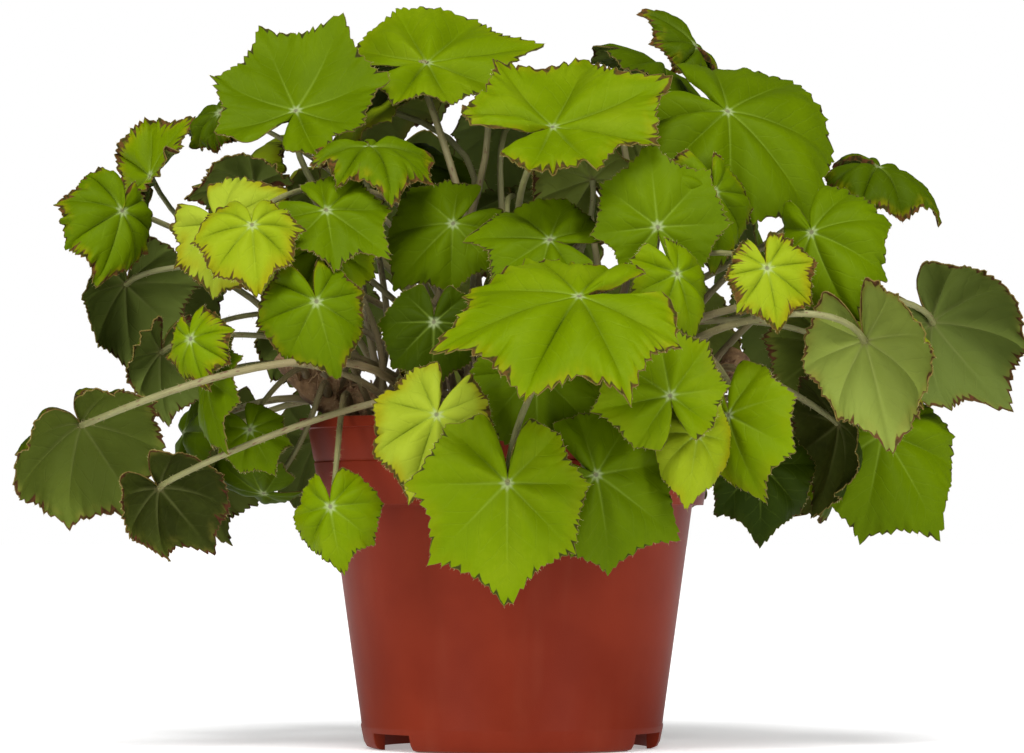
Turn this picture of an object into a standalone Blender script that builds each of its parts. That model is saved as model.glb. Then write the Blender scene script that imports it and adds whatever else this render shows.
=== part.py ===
"""A potted begonia: toothed lime leaves on hairy stalks, growing from two creeping rhizomes in a plastic pot.

Metres, +Z up, and the front faces -Y. Every piece is built round the pot's axis and moved at the end, so
that the origin is on the floor under the middle of the whole plant.
"""

import math
import random
from collections import namedtuple
from itertools import product

import bmesh
import bpy
import numpy as np
from mathutils import Matrix, Vector
from mathutils.bvhtree import BVHTree

# The pot, turned about Z
POT_HEIGHT = 0.139
LIP_RADIUS = 0.090
LIP_HEIGHT = 0.0042
BAND_TOP_RADIUS = 0.0866
BAND_FOOT_RADIUS = 0.0811
BAND_FOOT_Z = 0.1027
WALL_TOP_RADIUS = 0.0762
WALL_FOOT_RADIUS = 0.0624
FOOT_ROUNDING = 0.003
LIP_ROUNDING = 0.0006
WALL = 0.0016
FLOOR_Z = 0.0100
POT_STEPS = 36
NOTCH_COUNT = 3
NOTCH_TURN = math.radians(-54)
NOTCH_WIDTH = 0.026
NOTCH_HEIGHT = 0.007
DRAIN_COUNT = 6
DRAIN_RADIUS = 0.0045
DRAIN_CIRCLE = 0.042
DRAIN_SIDES = 8

# What fills it
SOIL_EDGE_Z = 0.125
SOIL_MOUND = 0.003
MOUND_SPAN = 0.6
MOUND_SHOULDER = 0.7
SOIL_STEPS = 28
SEAT_GAP = 0.0004

# The rhizomes: half-span, place in Y at the middle, how far the ends bow back, how far they rise, radius
Rhizome = namedtuple("Rhizome", "name half_span y_mid bow rise radius")
RHIZOMES = (
    Rhizome("rhizome_front", 0.096, -0.036, 0.026, 0.034, 0.0070),
    Rhizome("rhizome_back", 0.042, 0.012, 0.010, 0.006, 0.0065),
)
RHIZOME_BED_Z = SOIL_EDGE_Z + SOIL_MOUND + 0.004
RHIZOME_PITCH = 0.0095
RHIZOME_TAPER = 0.22
SITE_TURNS = (-0.95, 0.0, 0.95)

# The leaves
MM = 0.001
BLADE = 0.0008
STALK_RADIUS = 0.0019
CLEARANCE = 0.0007
LOBE_PITCH = math.radians(45)
LOBE_DEPTH = 0.17
LOBE_SHARPNESS = 0.8
TIP_GAIN = 0.16
DRIP = 0.16
DRIP_SPAN = 0.16
SHOULDER_FROM = 1.9
SHOULDER_SPAN = 0.9
NOTCH_SPAN = 0.36
NOTCH_FLOOR = 0.10
TOOTH = 0.05
TOOTHED_TO = 2.4
SKEW_RANGE = (0.05, 0.13)
RIPPLE_RANGE = (0.03, 0.06)
RIPPLE_SWING = 0.6
EYE_RADIUS = 0.0022
MID_RING = 0.56

# A stalk meets its blade between the blade's facing and its tip's direction, and thins from root to blade
MEET_FACING = 0.72
MEET_TIP = 0.69
ROOT_SWELL = 1.15
STALK_TAPER = 0.35
LAST_RING = 0.35
FRONT_SIDES = 6
SHOOT_SIDES = 4
STALK_SEGMENTS = 4
CARRY_STEPS = 8

# How blades and stalks are kept apart
SAMPLE_RINGS = ((0.12, 6), (0.35, 12), (0.6, 20), (0.82, 30), (1.05, 48))
OVER_REACH = 0.0045
OVER_HEIGHT = 0.022
SIGHT_SHARE = 0.4
NEAR = 1.1
SETTLE_GAP = 0.0024
SETTLE_STEP = 0.005
SETTLE_ROUNDS = 60
STALK_SWINGS = (0, 0.02, -0.02, 0.04, -0.04, 0.06, -0.06)
STALK_RISES = (0, 0.025, 0.05, -0.012)
STALK_REACHES = ((0.45, 0.30), (0.25, 0.30), (0.65, 0.30), (0.45, 0.50), (0.30, 0.15), (0.70, 0.60))
STALK_ROOTS = 24
OUTWARD_GAIN = 0.03
STALK_SAMPLE = 0.004
OWN_BLADE_SKIP = 3
ROOT_SKIP = 1
STUB_SKIP = 3
LEAST_AGREEMENT = 0.3
SITE_TAKEN = 0.005

# The point from which the leaves' places are read
VIEW_DISTANCE = 1.93
VIEW_HEIGHT = 0.091

# A leaf, in millimetres and degrees: the place of its eye, where the stalk meets the blade; the length from
# there to the foot of the drip tip; the way the tip points, seen from the front, anticlockwise from +X; the
# way the upper side faces, as a turn from -Y towards +X and a lift above the level; and how it curves, in
# radians per blade length: all round, across the midrib and along it. Places across and up are those seen in
# the plane of the pot's axis, by an eye VIEW_DISTANCE in front of it.
Leaf = namedtuple("Leaf", "x y z length heading yaw pitch cup fold droop")
LEAVES = {
    "top": (
        Leaf(-36, -12, 290, 44, 12, 0, 52, -0.2, 0.2, 0.3),
        Leaf(-90, -36, 265, 42, 60, -8, 38, -0.5, 0.2, 0.1),
        Leaf(17, -74, 258, 48, 19, 0, 52, -0.4, 0.2, 0.2),
        Leaf(91, -52, 267, 60, -38, 12, 40, 0.5, 0.2, 0.4),
        Leaf(78, 24, 297, 26, 130, 62, 30, 0.4, 1.0, 0.3),
        Leaf(-126, -5, 270, 24, 176, -30, 35, 0.5, 0.9, 0.6),
        Leaf(-45, 16, 262, 30, -4, 10, 48, 0.4, 0.4, 0.3),
        Leaf(-62, -66, 259, 32, -35, 0, 78, 0.3, 0.3, 1.0),
        Leaf(-25, -60, 222, 33, -140, -6, 24, 0.4, 0.3, 0.3),
        Leaf(35, -44, 248, 36, 110, 172, 44, 0.5, 0.4, 0.3),
        Leaf(16, -86, 215, 32, 170, 0, 42, 0.2, 0.2, 0.2),
    ),
    "left": (
        Leaf(-151, 14, 241, 28, 66, -62, 14, 0.3, -1.2, 0.2),
        Leaf(-165, -44, 227, 30, -97, 38, 16, 0.4, 0.8, 0.3),
        Leaf(-163, -8, 196, 34, -95, -144, 22, 0.4, 0.5, 0.2),
        Leaf(-124, -80, 222, 34, -50, -12, 24, 0.3, 0.3, 0.3),
        Leaf(-110, -106, 221, 27, -84, 0, 34, 0.4, 0.3, 0.4),
        Leaf(-112, -10, 243, 27, 175, 170, 46, 0.4, 0.3, 0.3),
        Leaf(-79, -94, 228, 28, -30, 4, 40, -0.2, 0.2, 0.6),
        Leaf(-80, -84, 213, 27, -66, 4, 20, 0.5, 0.3, 0.3),
        Leaf(-83, -108, 189, 29, -73, 4, 10, 0.3, 0.6, 0.3),
        Leaf(-136, -98, 173, 20, -80, -34, 10, 0.4, 0.5, 0.2),
        Leaf(-178, -60, 142, 45, -58, -150, 40, 0.6, 0.3, 0.5),
        Leaf(-152, -26, 162, 28, -100, -140, 20, 0.5, 0.4, 0.3),
        Leaf(-149, -46, 110, 34, -52, -150, 30, 0.4, 0.9, 0.2),
        Leaf(-128, -70, 156, 30, -90, -68, 12, 0.3, 0.3, 0.3),
        Leaf(-112, -84, 135, 19, -60, -10, 22, 0.3, 0.4, 0.2),
        Leaf(-106, -50, 108, 25, 182, -20, -64, 0.4, 0.3, 0.3),
    ),
    "front": (
        Leaf(28, -134, 190, 55, -168, 4, 54, 0.2, 0.3, 0.2),
        Leaf(-2, -136, 112, 42, -90, 0, 6, 0.1, 0.2, 0.2),
        Leaf(38, -116, 116, 40, -33, 12, 10, 0.3, 0.3, 0.3),
        Leaf(67, -130, 149, 31, 100, 0, 8, 0.1, 0.2, 0.1),
        Leaf(-32, -122, 141, 32, -110, -8, 14, 0.3, 0.3, 0.2),
        Leaf(-77, -104, 102, 25, -83, -14, 10, 0.5, 0.6, 0.2),
        Leaf(10, -112, 160, 37, -88, 0, 12, 0.4, 0.3, 0.3),
        Leaf(-33, -88, 180, 26, -92, 0, 10, 0.4, 0.3, 0.2),
        Leaf(-46, -66, 151, 20, 92, 82, 8, 0.2, -0.3, 0.1),
        Leaf(62, -100, 221, 32, 95, 0, 12, 0.1, 0.2, 0.1),
        Leaf(70, -122, 201, 25, -65, 34, 14, 0.4, 0.5, 0.2),
        Leaf(78, -124, 132, 27, -97, 5, 8, 0.4, 1.3, 0.2),
    ),
    "right": (
        Leaf(108, -114, 203, 23, -77, 10, 14, 0.2, 0.2, 0.2),
        Leaf(86, -88, 236, 30, -80, 30, 14, 0.4, 0.5, 0.3),
        Leaf(127, -84, 218, 39, -76, -34, 22, 0.5, 0.9, 0.4),
        Leaf(155, -6, 246, 34, -16, 40, 72, 0.5, 1.0, 0.4),
        Leaf(178, -14, 180, 46, -50, -158, 18, 0.5, 0.9, 0.3),
        Leaf(149, -86, 172, 42, -72, 172, 18, 0.5, 1.0, 0.2),
        Leaf(135, -34, 171, 33, -88, 130, 16, 0.5, 0.4, 0.2),
        Leaf(158, -40, 133, 45, -54, 8, 24, 0.4, 0.5, 0.3),
        Leaf(90, -104, 141, 34, -81, -50, 10, 0.4, 0.7, 0.2),
        Leaf(113, -16, 135, 36, -90, 120, 12, 0.4, 0.5, 0.2),
        Leaf(104, -52, 122, 31, -85, 10, 10, 0.5, 0.3, 0.2),
    ),
}

# The shoots behind: each is a stub with leaves spread round a part of the crown. A tier of the crown has its
# height, its reach from the axis, the lift of its leaves above the level and their length, in the same units.
Tier = namedtuple("Tier", "z reach lift length")
TIERS = (
    Tier(136, 150, 14, 46),
    Tier(192, 150, 26, 48),
    Tier(240, 112, 42, 48),
    Tier(278, 62, 62, 44),
)
SHOOT_COUNT = 6
SHOOTS_FROM = math.radians(80)
SHOOTS_TO = math.radians(280)
STUB_RADIUS = 0.0050
STUB_HEIGHT = 0.012
STUB_SUNK = 0.010
STUB_CIRCLE = 0.060
JITTER = 0.20
TIER_STAGGER = 0.4
LIFT_JITTER = 8
REACH_RANGE = (0.92, 1.05)
RISE_RANGE = (0.96, 1.04)
LENGTH_RANGE = (0.85, 1.1)
SIDE_SWING = 0.6
SHOOT_CURVES = (0.5, 0.4, 0.4)
STALK_RISE = 1.2
SEED = 11

POT_RED = (0.34, 0.045, 0.02, 1)
SOIL_BROWN = (0.03, 0.017, 0.01, 1)
STEM_BROWN = (0.22, 0.13, 0.06, 1)
LEAF_LIME = (0.20, 0.40, 0.012, 1)
POT_ROUGHNESS = 0.45
SOIL_ROUGHNESS = 0.95
STEM_ROUGHNESS = 0.7
LEAF_ROUGHNESS = 0.45


def clear_scene():
    for obj in list(bpy.data.objects):
        bpy.data.objects.remove(obj, do_unlink=True)


def material(name, colour, roughness):
    made = bpy.data.materials.new(name)
    made.use_nodes = True
    shader = made.node_tree.nodes["Principled BSDF"]
    shader.inputs["Base Color"].default_value = colour
    shader.inputs["Roughness"].default_value = roughness
    return made


def collection(name, shown=True):
    made = bpy.data.collections.new(name)
    bpy.context.scene.collection.children.link(made)
    made.hide_render = not shown
    return made


def mesh_object(name, points, faces, home, finish=None):
    mesh = bpy.data.meshes.new(name)
    mesh.from_pydata([tuple(p) for p in points], [], faces)
    mesh.update()
    obj = bpy.data.objects.new(name, mesh)
    home.objects.link(obj)
    if finish:
        mesh.materials.append(finish)
    return obj


def turned(name, profile, steps, home, finish=None):
    """A closed ring or solid of revolution: the outline runs down its outer side, in the X-Z plane."""
    count = len(profile)
    mesh = bpy.data.meshes.new(name)
    edges = [(i, (i + 1) % count) for i in range(count)]
    if profile[0][0] == 0:
        edges.pop()
    mesh.from_pydata([(x, 0, z) for x, z in profile], edges, [])
    obj = bpy.data.objects.new(name, mesh)
    home.objects.link(obj)
    screw = obj.modifiers.new("Turn", "SCREW")
    screw.steps = screw.render_steps = steps
    screw.use_merge_vertices = True
    screw.merge_threshold = 0.00005
    if finish:
        mesh.materials.append(finish)
    return obj


def box(name, size, place, turn, home):
    bm = bmesh.new()
    bmesh.ops.create_cube(bm, size=1)
    bmesh.ops.scale(bm, vec=size, verts=bm.verts)
    mesh = bpy.data.meshes.new(name)
    bm.to_mesh(mesh)
    bm.free()
    obj = bpy.data.objects.new(name, mesh)
    home.objects.link(obj)
    obj.location = place
    obj.rotation_euler.z = turn
    return as_cutter(obj)


def as_cutter(obj):
    obj.hide_render = True
    obj.display_type = "WIRE"
    return obj


def cut(obj, cutter):
    boolean = obj.modifiers.new("Cut " + cutter.name, "BOOLEAN")
    boolean.operation = "DIFFERENCE"
    boolean.object = cutter


def inner_radius(z):
    """The pot's inside radius at a height above its floor."""
    if z < BAND_FOOT_Z:
        share = z / BAND_FOOT_Z
        return WALL_FOOT_RADIUS + share * (WALL_TOP_RADIUS - WALL_FOOT_RADIUS) - WALL
    share = (z - BAND_FOOT_Z) / (POT_HEIGHT - BAND_FOOT_Z)
    return BAND_FOOT_RADIUS + share * (BAND_TOP_RADIUS - BAND_FOOT_RADIUS) - WALL


def build_pot(home, cutters):
    """A moulded pot: rolled lip, wider band over a stepped-in wall, raised floor and a foot with notches."""
    lip_z = POT_HEIGHT - LIP_HEIGHT
    step_z = BAND_FOOT_Z + WALL
    foot_edge = WALL_FOOT_RADIUS - FOOT_ROUNDING
    profile = [
        (inner_radius(FLOOR_Z) - FOOT_ROUNDING, FLOOR_Z),
        (WALL_TOP_RADIUS - WALL, step_z),
        (inner_radius(step_z), step_z),
        (inner_radius(POT_HEIGHT), POT_HEIGHT),
        (LIP_RADIUS - LIP_ROUNDING, POT_HEIGHT),
        (LIP_RADIUS, POT_HEIGHT - LIP_ROUNDING),
        (LIP_RADIUS, lip_z),
        (BAND_TOP_RADIUS, lip_z),
        (BAND_FOOT_RADIUS, BAND_FOOT_Z),
        (WALL_TOP_RADIUS, BAND_FOOT_Z),
        (WALL_FOOT_RADIUS, FOOT_ROUNDING),
        (foot_edge, 0),
        (foot_edge - WALL, 0),
        (foot_edge - WALL, FLOOR_Z - WALL),
        (0, FLOOR_Z - WALL),
        (0, FLOOR_Z),
    ]
    pot = turned("pot", profile, POT_STEPS, home, material("pot_plastic", POT_RED, POT_ROUGHNESS))
    for cutter in notch_cutters(cutters):
        cut(pot, cutter)
    cut(pot, drain_cutter(cutters))
    return pot


def notch_cutters(home):
    """A box across the foot at each of its notches."""
    made = []
    reach = 4 * WALL
    for i in range(NOTCH_COUNT):
        turn = NOTCH_TURN + 2 * math.pi * i / NOTCH_COUNT
        out = Vector((math.sin(turn), -math.cos(turn), 0))
        place = out * (WALL_FOOT_RADIUS - reach / 2 + WALL) + Vector((0, 0, NOTCH_HEIGHT / 2 - WALL))
        size = (NOTCH_WIDTH, 2 * reach, NOTCH_HEIGHT + 2 * WALL)
        made.append(box(f"notch_cutter_{i + 1}", size, place, turn, home))
    return made


def drain_cutter(home):
    """All the drain holes' cylinders, as one cutter."""
    bm = bmesh.new()
    for i in range(DRAIN_COUNT):
        turn = 2 * math.pi * i / DRAIN_COUNT
        made = bmesh.ops.create_cone(
            bm,
            cap_ends=True,
            segments=DRAIN_SIDES,
            radius1=DRAIN_RADIUS,
            radius2=DRAIN_RADIUS,
            depth=4 * WALL,
        )
        place = (DRAIN_CIRCLE * math.cos(turn), DRAIN_CIRCLE * math.sin(turn), FLOOR_Z - WALL / 2)
        bmesh.ops.translate(bm, vec=place, verts=made["verts"])
    mesh = bpy.data.meshes.new("drain_cutter")
    bm.to_mesh(mesh)
    bm.free()
    drains = bpy.data.objects.new("drain_cutter", mesh)
    home.objects.link(drains)
    return as_cutter(drains)


def build_soil(home, hollows):
    """Potting mix that fills the pot to just under its lip, hollowed where each stem lies or stands."""
    gap = SEAT_GAP
    bottom = FLOOR_Z + gap
    step_z = BAND_FOOT_Z + WALL + gap
    profile = [
        (0, SOIL_EDGE_Z + SOIL_MOUND),
        (MOUND_SPAN * inner_radius(SOIL_EDGE_Z), SOIL_EDGE_Z + MOUND_SHOULDER * SOIL_MOUND),
        (inner_radius(SOIL_EDGE_Z) - 2 * gap, SOIL_EDGE_Z),
        (inner_radius(step_z) - 2 * gap, step_z),
        (WALL_TOP_RADIUS - WALL - 2 * gap, step_z),
        (inner_radius(FLOOR_Z) - FOOT_ROUNDING - 2 * gap, bottom),
        (0, bottom),
    ]
    soil = turned("soil", profile, SOIL_STEPS, home, material("potting_mix", SOIL_BROWN, SOIL_ROUGHNESS))
    for cutter in hollows:
        cut(soil, cutter)
    return soil


def rhizome_point(rhizome, share):
    """A point of the rhizome's middle line; share runs from -1 at its left end to 1 at its right end."""
    return Vector(
        (
            rhizome.half_span * share,
            rhizome.y_mid + rhizome.bow * share**2,
            RHIZOME_BED_Z + rhizome.rise * share**4,
        )
    )


def rhizome_radius(rhizome, share):
    """Thickest in the middle."""
    return rhizome.radius * (1 - RHIZOME_TAPER * share**2)


def rhizome_shares(rhizome):
    """Even steps along a rhizome, from -1 at its left end to 1 at its right end."""
    count = 2 * round(rhizome.half_span / RHIZOME_PITCH) + 1
    return [2 * i / (count - 1) - 1 for i in range(count)]


def build_rhizome(rhizome, swell, home, finish=None):
    """A thick creeping stem, as a mesh tube whose two ends are closed."""
    curve = bpy.data.curves.new(rhizome.name, "CURVE")
    curve.dimensions = "3D"
    curve.bevel_depth = 1
    curve.bevel_resolution = 2
    curve.use_fill_caps = True
    spline = curve.splines.new("POLY")
    shares = rhizome_shares(rhizome)
    spline.points.add(len(shares) - 1)
    for share, point in zip(shares, spline.points):
        point.co = (*rhizome_point(rhizome, share), 1)
        point.radius = rhizome_radius(rhizome, share) + swell
    tube = bpy.data.objects.new(rhizome.name, curve)
    home.objects.link(tube)
    bpy.context.view_layer.update()
    mesh = bpy.data.meshes.new_from_object(tube.evaluated_get(bpy.context.evaluated_depsgraph_get()))
    bpy.data.objects.remove(tube)
    bm = bmesh.new()
    bm.from_mesh(mesh)
    bmesh.ops.remove_doubles(bm, verts=bm.verts, dist=1e-6)
    bm.to_mesh(mesh)
    bm.free()
    mesh.name = rhizome.name
    made = bpy.data.objects.new(rhizome.name, mesh)
    home.objects.link(made)
    if finish:
        mesh.materials.append(finish)
    return made


def stalk_sites():
    """Where leaf stalks may root: (place, way out of the stem), in three rows along each rhizome."""
    sites = []
    for rhizome in RHIZOMES:
        for share in rhizome_shares(rhizome)[1:-1]:
            middle = rhizome_point(rhizome, share)
            along = (rhizome_point(rhizome, share + 0.01) - rhizome_point(rhizome, share - 0.01)).normalized()
            side = along.cross(Vector((0, 0, 1))).normalized()
            up = side.cross(along)
            for turn in SITE_TURNS:
                out = up * math.cos(turn) + side * math.sin(turn)
                sites.append((middle + out * (rhizome_radius(rhizome, share) + SEAT_GAP), out))
    return sites


class Blade:
    """A leaf's frame, outline and surface. Local units are blade lengths: x to the tip, y to the left."""

    def __init__(self, row, eye, normal, tip, rng):
        self.length = row.length * MM
        self.eye = np.array(eye)
        self.normal = np.array(normal.normalized())
        tip = np.array(tip) - np.dot(tip, self.normal) * self.normal
        self.tip = tip / np.linalg.norm(tip)
        self.left = np.cross(self.normal, self.tip)
        self.cup, self.fold, self.droop = row.cup, row.fold, row.droop
        self.skew = rng.choice((-1, 1)) * rng.uniform(*SKEW_RANGE)
        self.ripple = rng.uniform(*RIPPLE_RANGE)
        self.phase = rng.uniform(-RIPPLE_SWING, RIPPLE_SWING)

    def outline(self, angle):
        """The blade's reach at an angle from the midrib: drip tip, lobes, round shoulders, stalk notch."""
        turn = np.abs(angle)
        valley = 2 * np.abs((turn / LOBE_PITCH + 0.5) % 1 - 0.5)
        shoulder = smooth((turn - SHOULDER_FROM) / SHOULDER_SPAN)
        lobes = 1 - LOBE_DEPTH * (1 - shoulder) * valley**LOBE_SHARPNESS
        reach = (1 - TIP_GAIN + TIP_GAIN * np.cos(angle)) * lobes
        notch = NOTCH_FLOOR + (1 - NOTCH_FLOOR) * smooth((math.pi - turn) / NOTCH_SPAN)
        drip = 1 + DRIP * np.exp(-((angle / DRIP_SPAN) ** 2))
        return reach * notch * drip * (1 + self.skew * np.sin(angle))

    def surface(self, x, y):
        """Points of the blade's middle surface, in metres, for local x and y."""
        radius = np.hypot(x, y) + 1e-9
        angle = np.arctan2(y, x)
        lift = self.ripple * radius**2 * np.cos(math.pi * angle / LOBE_PITCH + self.phase)
        out, lift = bend(radius, lift, self.cup)
        across, lift = bend(out * y / radius, lift, self.fold)
        along, lift = bend(out * x / radius, lift, self.droop)
        local = self.length * np.stack([along, across, lift], axis=-1)
        return self.eye + local @ np.stack([self.tip, self.left, self.normal])

    def upward(self, x, y):
        """Unit vectors out of the upper side at local x and y."""
        step = 0.01
        a = self.surface(x + step, y) - self.surface(x - step, y)
        b = self.surface(x, y + step) - self.surface(x, y - step)
        n = np.cross(a, b)
        return n / np.linalg.norm(n, axis=-1, keepdims=True)

    def ring(self, count, share, offset):
        """A ring of points round the eye, at a share of the outline, lifted off the middle surface."""
        angle = 2 * math.pi * np.arange(count) / count
        angle = np.where(angle > math.pi, angle - 2 * math.pi, angle)
        reach = share * self.outline(angle)
        if share == 1:
            reach = reach * (1 + TOOTH * np.where(np.arange(count) % 2, -1, 1) * (np.abs(angle) < TOOTHED_TO))
        if share == 0:
            reach = np.full(count, EYE_RADIUS / self.length)
        x, y = reach * np.cos(angle), reach * np.sin(angle)
        return self.surface(x, y) + offset * self.upward(x, y)

    def rings(self, sides):
        """The blade as rings from the stalk's collar, out under the blade and back over its upper side."""
        half = BLADE / 2
        under = [self.ring(sides, 0, -half), self.ring(2 * sides, MID_RING, -half)]
        edge = [self.ring(4 * sides, 1, -half), self.ring(4 * sides, 1, half)]
        return under + edge + [self.ring(2 * sides, MID_RING, half), self.ring(sides, 0, half)]


def smooth(share):
    share = np.clip(share, 0, 1)
    return share * share * (3 - 2 * share)


def bend(along, lift, rate):
    """Where a point along a line, and lifted off it, goes as the line bends down by rate radians per unit."""
    if abs(rate) < 1e-6:
        return along, lift
    turn = rate * along
    return np.sin(turn) * (1 / rate + lift), (np.cos(turn) - 1) / rate + lift * np.cos(turn)


def stalk_rings(blade, root, way, reach, arrival, sway, sides):
    """Rings along a leaf stalk, from its root to just under the blade's eye."""
    end = blade.eye - blade.normal * BLADE / 2
    arrive = MEET_FACING * blade.normal + MEET_TIP * blade.tip
    gap = np.linalg.norm(end - root)
    first = root + way * reach * gap + sway
    last = end - arrive * arrival * gap + sway / 2
    steps = np.arange((STALK_SEGMENTS - 1) * CARRY_STEPS + 1) / CARRY_STEPS
    share = (steps / (STALK_SEGMENTS - LAST_RING))[:, None]
    rest = 1 - share
    line = rest**3 * root + 3 * rest**2 * share * first + 3 * rest * share**2 * last + share**3 * end
    pull = rest**2 * (first - root) + 2 * rest * share * (last - first) + share**2 * (end - last)
    pull[0] = way
    pull /= np.linalg.norm(pull, axis=1, keepdims=True)
    angle = 2 * math.pi * np.arange(sides) / sides
    across = blade.tip
    rings = []
    for i in reversed(range(len(steps))):
        across = across - np.dot(across, pull[i]) * pull[i]
        across = across / np.linalg.norm(across)
        if i % CARRY_STEPS:
            continue
        beside = np.cross(pull[i], across)
        thick = STALK_RADIUS * (ROOT_SWELL - STALK_TAPER * share[i])
        rings.append(line[i] + thick * (np.outer(np.cos(angle), across) + np.outer(np.sin(angle), beside)))
    return rings[::-1]


def loft(rings):
    """(points, faces) of a closed skin through rings, each as long as the last, or double or half."""
    points = np.concatenate(rings)
    starts = np.cumsum([0] + [len(r) for r in rings])
    faces = [tuple(range(len(rings[0])))[::-1], tuple(starts[-2] + k for k in range(len(rings[-1])))]
    for a, b, low, high in zip(starts, starts[1:], rings, rings[1:]):
        n, m = len(low), len(high)
        for i in range(min(n, m)):
            j = (i + 1) % min(n, m)
            if n == m:
                faces.append((a + i, a + j, b + j, b + i))
            elif m == 2 * n:
                k = b + 2 * i + 1
                faces += [(a + i, k, b + 2 * i), (a + i, a + j, k), (a + j, b + 2 * j, k)]
            else:
                k = a + 2 * i + 1
                faces += [(b + i, a + 2 * i, k), (b + i, k, b + j), (b + j, k, a + 2 * j)]
    return points, faces


def seen_place(x, y, z):
    """The place in space of a point seen at (x, z) in the plane of the pot's axis, at depth y."""
    scale = 1 + y / VIEW_DISTANCE
    return np.array([x * scale, y, VIEW_HEIGHT + (z - VIEW_HEIGHT) * scale])


def facing(yaw, pitch):
    """The unit vector a turn of yaw from -Y towards +X, lifted pitch above the level."""
    return Vector((math.sin(yaw) * math.cos(pitch), -math.cos(yaw) * math.cos(pitch), math.sin(pitch)))


def seen_tip(normal, heading):
    """The direction within the blade that is seen at a heading from the front."""
    flat = Vector((math.cos(heading), 0, math.sin(heading)))
    depth = -normal.dot(flat) * normal.y / (normal.y**2 + 0.02)
    return flat + Vector((0, depth, 0))


def front_blades(rng):
    """(node name, blade) of each leaf that the table lists."""
    made = []
    for region, rows in LEAVES.items():
        for i, row in enumerate(rows):
            normal = facing(math.radians(row.yaw), math.radians(row.pitch))
            tip = seen_tip(normal, math.radians(row.heading))
            eye = seen_place(row.x * MM, row.y * MM, row.z * MM)
            made.append((f"leaf_{region}_{i + 1:02d}", Blade(row, eye, normal, tip, rng)))
    return made


def shoot_turn(i):
    """How far round from the front, by way of +X, shoot i stands."""
    return SHOOTS_FROM + (SHOOTS_TO - SHOOTS_FROM) * (i + 0.5) / SHOOT_COUNT


def shoot_blades(rng):
    """(node name, blade) of each leaf of the shoots, tier by tier round the back of the crown."""
    made = []
    for i in range(SHOOT_COUNT):
        for k, tier in enumerate(TIERS):
            yaw = shoot_turn(i) + (0.5 - k % 2) * TIER_STAGGER + rng.uniform(-JITTER, JITTER)
            lift = math.radians(tier.lift + rng.uniform(-LIFT_JITTER, LIFT_JITTER))
            reach = tier.reach * MM * rng.uniform(*REACH_RANGE)
            eye = facing(yaw, 0) * reach + Vector((0, 0, tier.z * MM * rng.uniform(*RISE_RANGE)))
            normal = facing(yaw, lift)
            down = normal * math.sin(lift) - Vector((0, 0, 1))
            side = normal.cross(down) * rng.uniform(-SIDE_SWING, SIDE_SWING)
            row = Leaf(0, 0, 0, tier.length * rng.uniform(*LENGTH_RANGE), 0, 0, 0, *SHOOT_CURVES)
            made.append((f"shoot_{i + 1}", Blade(row, eye, normal, down + side, rng)))
    return made


def blade_samples(blade):
    """Points all over a blade, with the unit vectors out of its upper side there."""
    points, normals = [], []
    for share, count in SAMPLE_RINGS:
        angle = np.linspace(-math.pi, math.pi, count, endpoint=False)
        reach = share * blade.outline(angle)
        x, y = reach * np.cos(angle), reach * np.sin(angle)
        points.append(blade.surface(x, y))
        normals.append(blade.upward(x, y))
    return np.concatenate(points), np.concatenate(normals)


def heights_over(points, others, normals):
    """How high each point that lies over a sampled blade is above it, and that blade's normals there."""
    apart = points[:, None] - others[None]
    nearest = (apart**2).sum(axis=2).argmin(axis=1)
    step = apart[np.arange(len(points)), nearest]
    normal = normals[nearest]
    height = (step * normal).sum(axis=1)
    aside = np.linalg.norm(step - height[:, None] * normal, axis=1)
    over = (aside < OVER_REACH) & (np.abs(height) < OVER_HEIGHT)
    return height[over], normal[over]


def push_apart(a, b, side):
    """The move that would clear blade a of blade b on the side they are kept, and that side."""
    above, normals = heights_over(a[0], b[0], b[1])
    below, others = heights_over(b[0], a[0], a[1])
    if not len(above) or not len(below):
        return None, side
    agree = 1 if np.dot(normals.mean(axis=0), others.mean(axis=0)) > 0 else -1
    heights = np.concatenate([above, -agree * below])
    way = normals.mean(axis=0) + agree * others.mean(axis=0)
    way = way / (np.linalg.norm(way) + 1e-9)
    side = side or (1 if heights.mean() > 0 else -1)
    need = SETTLE_GAP - (side * heights).min()
    if need <= 0:
        return None, side
    along_sight = abs(way[1]) > SIGHT_SHARE
    move = np.array([0, 1 / way[1], 0]) if along_sight else way
    return side * min(need, SETTLE_STEP) * move, side


def pot_push(points):
    """The move that would take a blade's points out of the pot: outwards below its lip, else upwards."""
    level = np.hypot(points[:, 0], points[:, 1])
    low = points[:, 2] < POT_HEIGHT + SETTLE_GAP
    depth = np.where(low, LIP_RADIUS + SETTLE_GAP - level, 0)
    worst = depth.argmax()
    if depth[worst] <= 0:
        return None
    rise = POT_HEIGHT + SETTLE_GAP - points[:, 2].min()
    if rise < depth[worst]:
        return np.array([0, 0, rise])
    out = points[:, :2].mean(axis=0)
    return np.append(out / np.linalg.norm(out) * min(depth[worst], SETTLE_STEP), 0)


def settle(blades):
    """Moves the blades, a little at a time, until those that touch or cross lie clear of each other."""
    samples = [blade_samples(blade) for blade in blades]
    sides = {}
    for _ in range(SETTLE_ROUNDS):
        moved = 0
        for a in range(len(blades)):
            for b in range(a):
                reach = NEAR * (blades[a].length + blades[b].length)
                if np.linalg.norm(blades[a].eye - blades[b].eye) > reach:
                    continue
                push, sides[a, b] = push_apart(samples[a], samples[b], sides.get((a, b)))
                if push is not None:
                    moved += 1
                    shift(blades[a], samples[a], push / 2)
                    shift(blades[b], samples[b], -push / 2)
            push = pot_push(samples[a][0])
            if push is not None:
                shift(blades[a], samples[a], push)
        if not moved:
            break


def shift(blade, samples, move):
    blade.eye = blade.eye + move
    samples[0][:] += move


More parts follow.
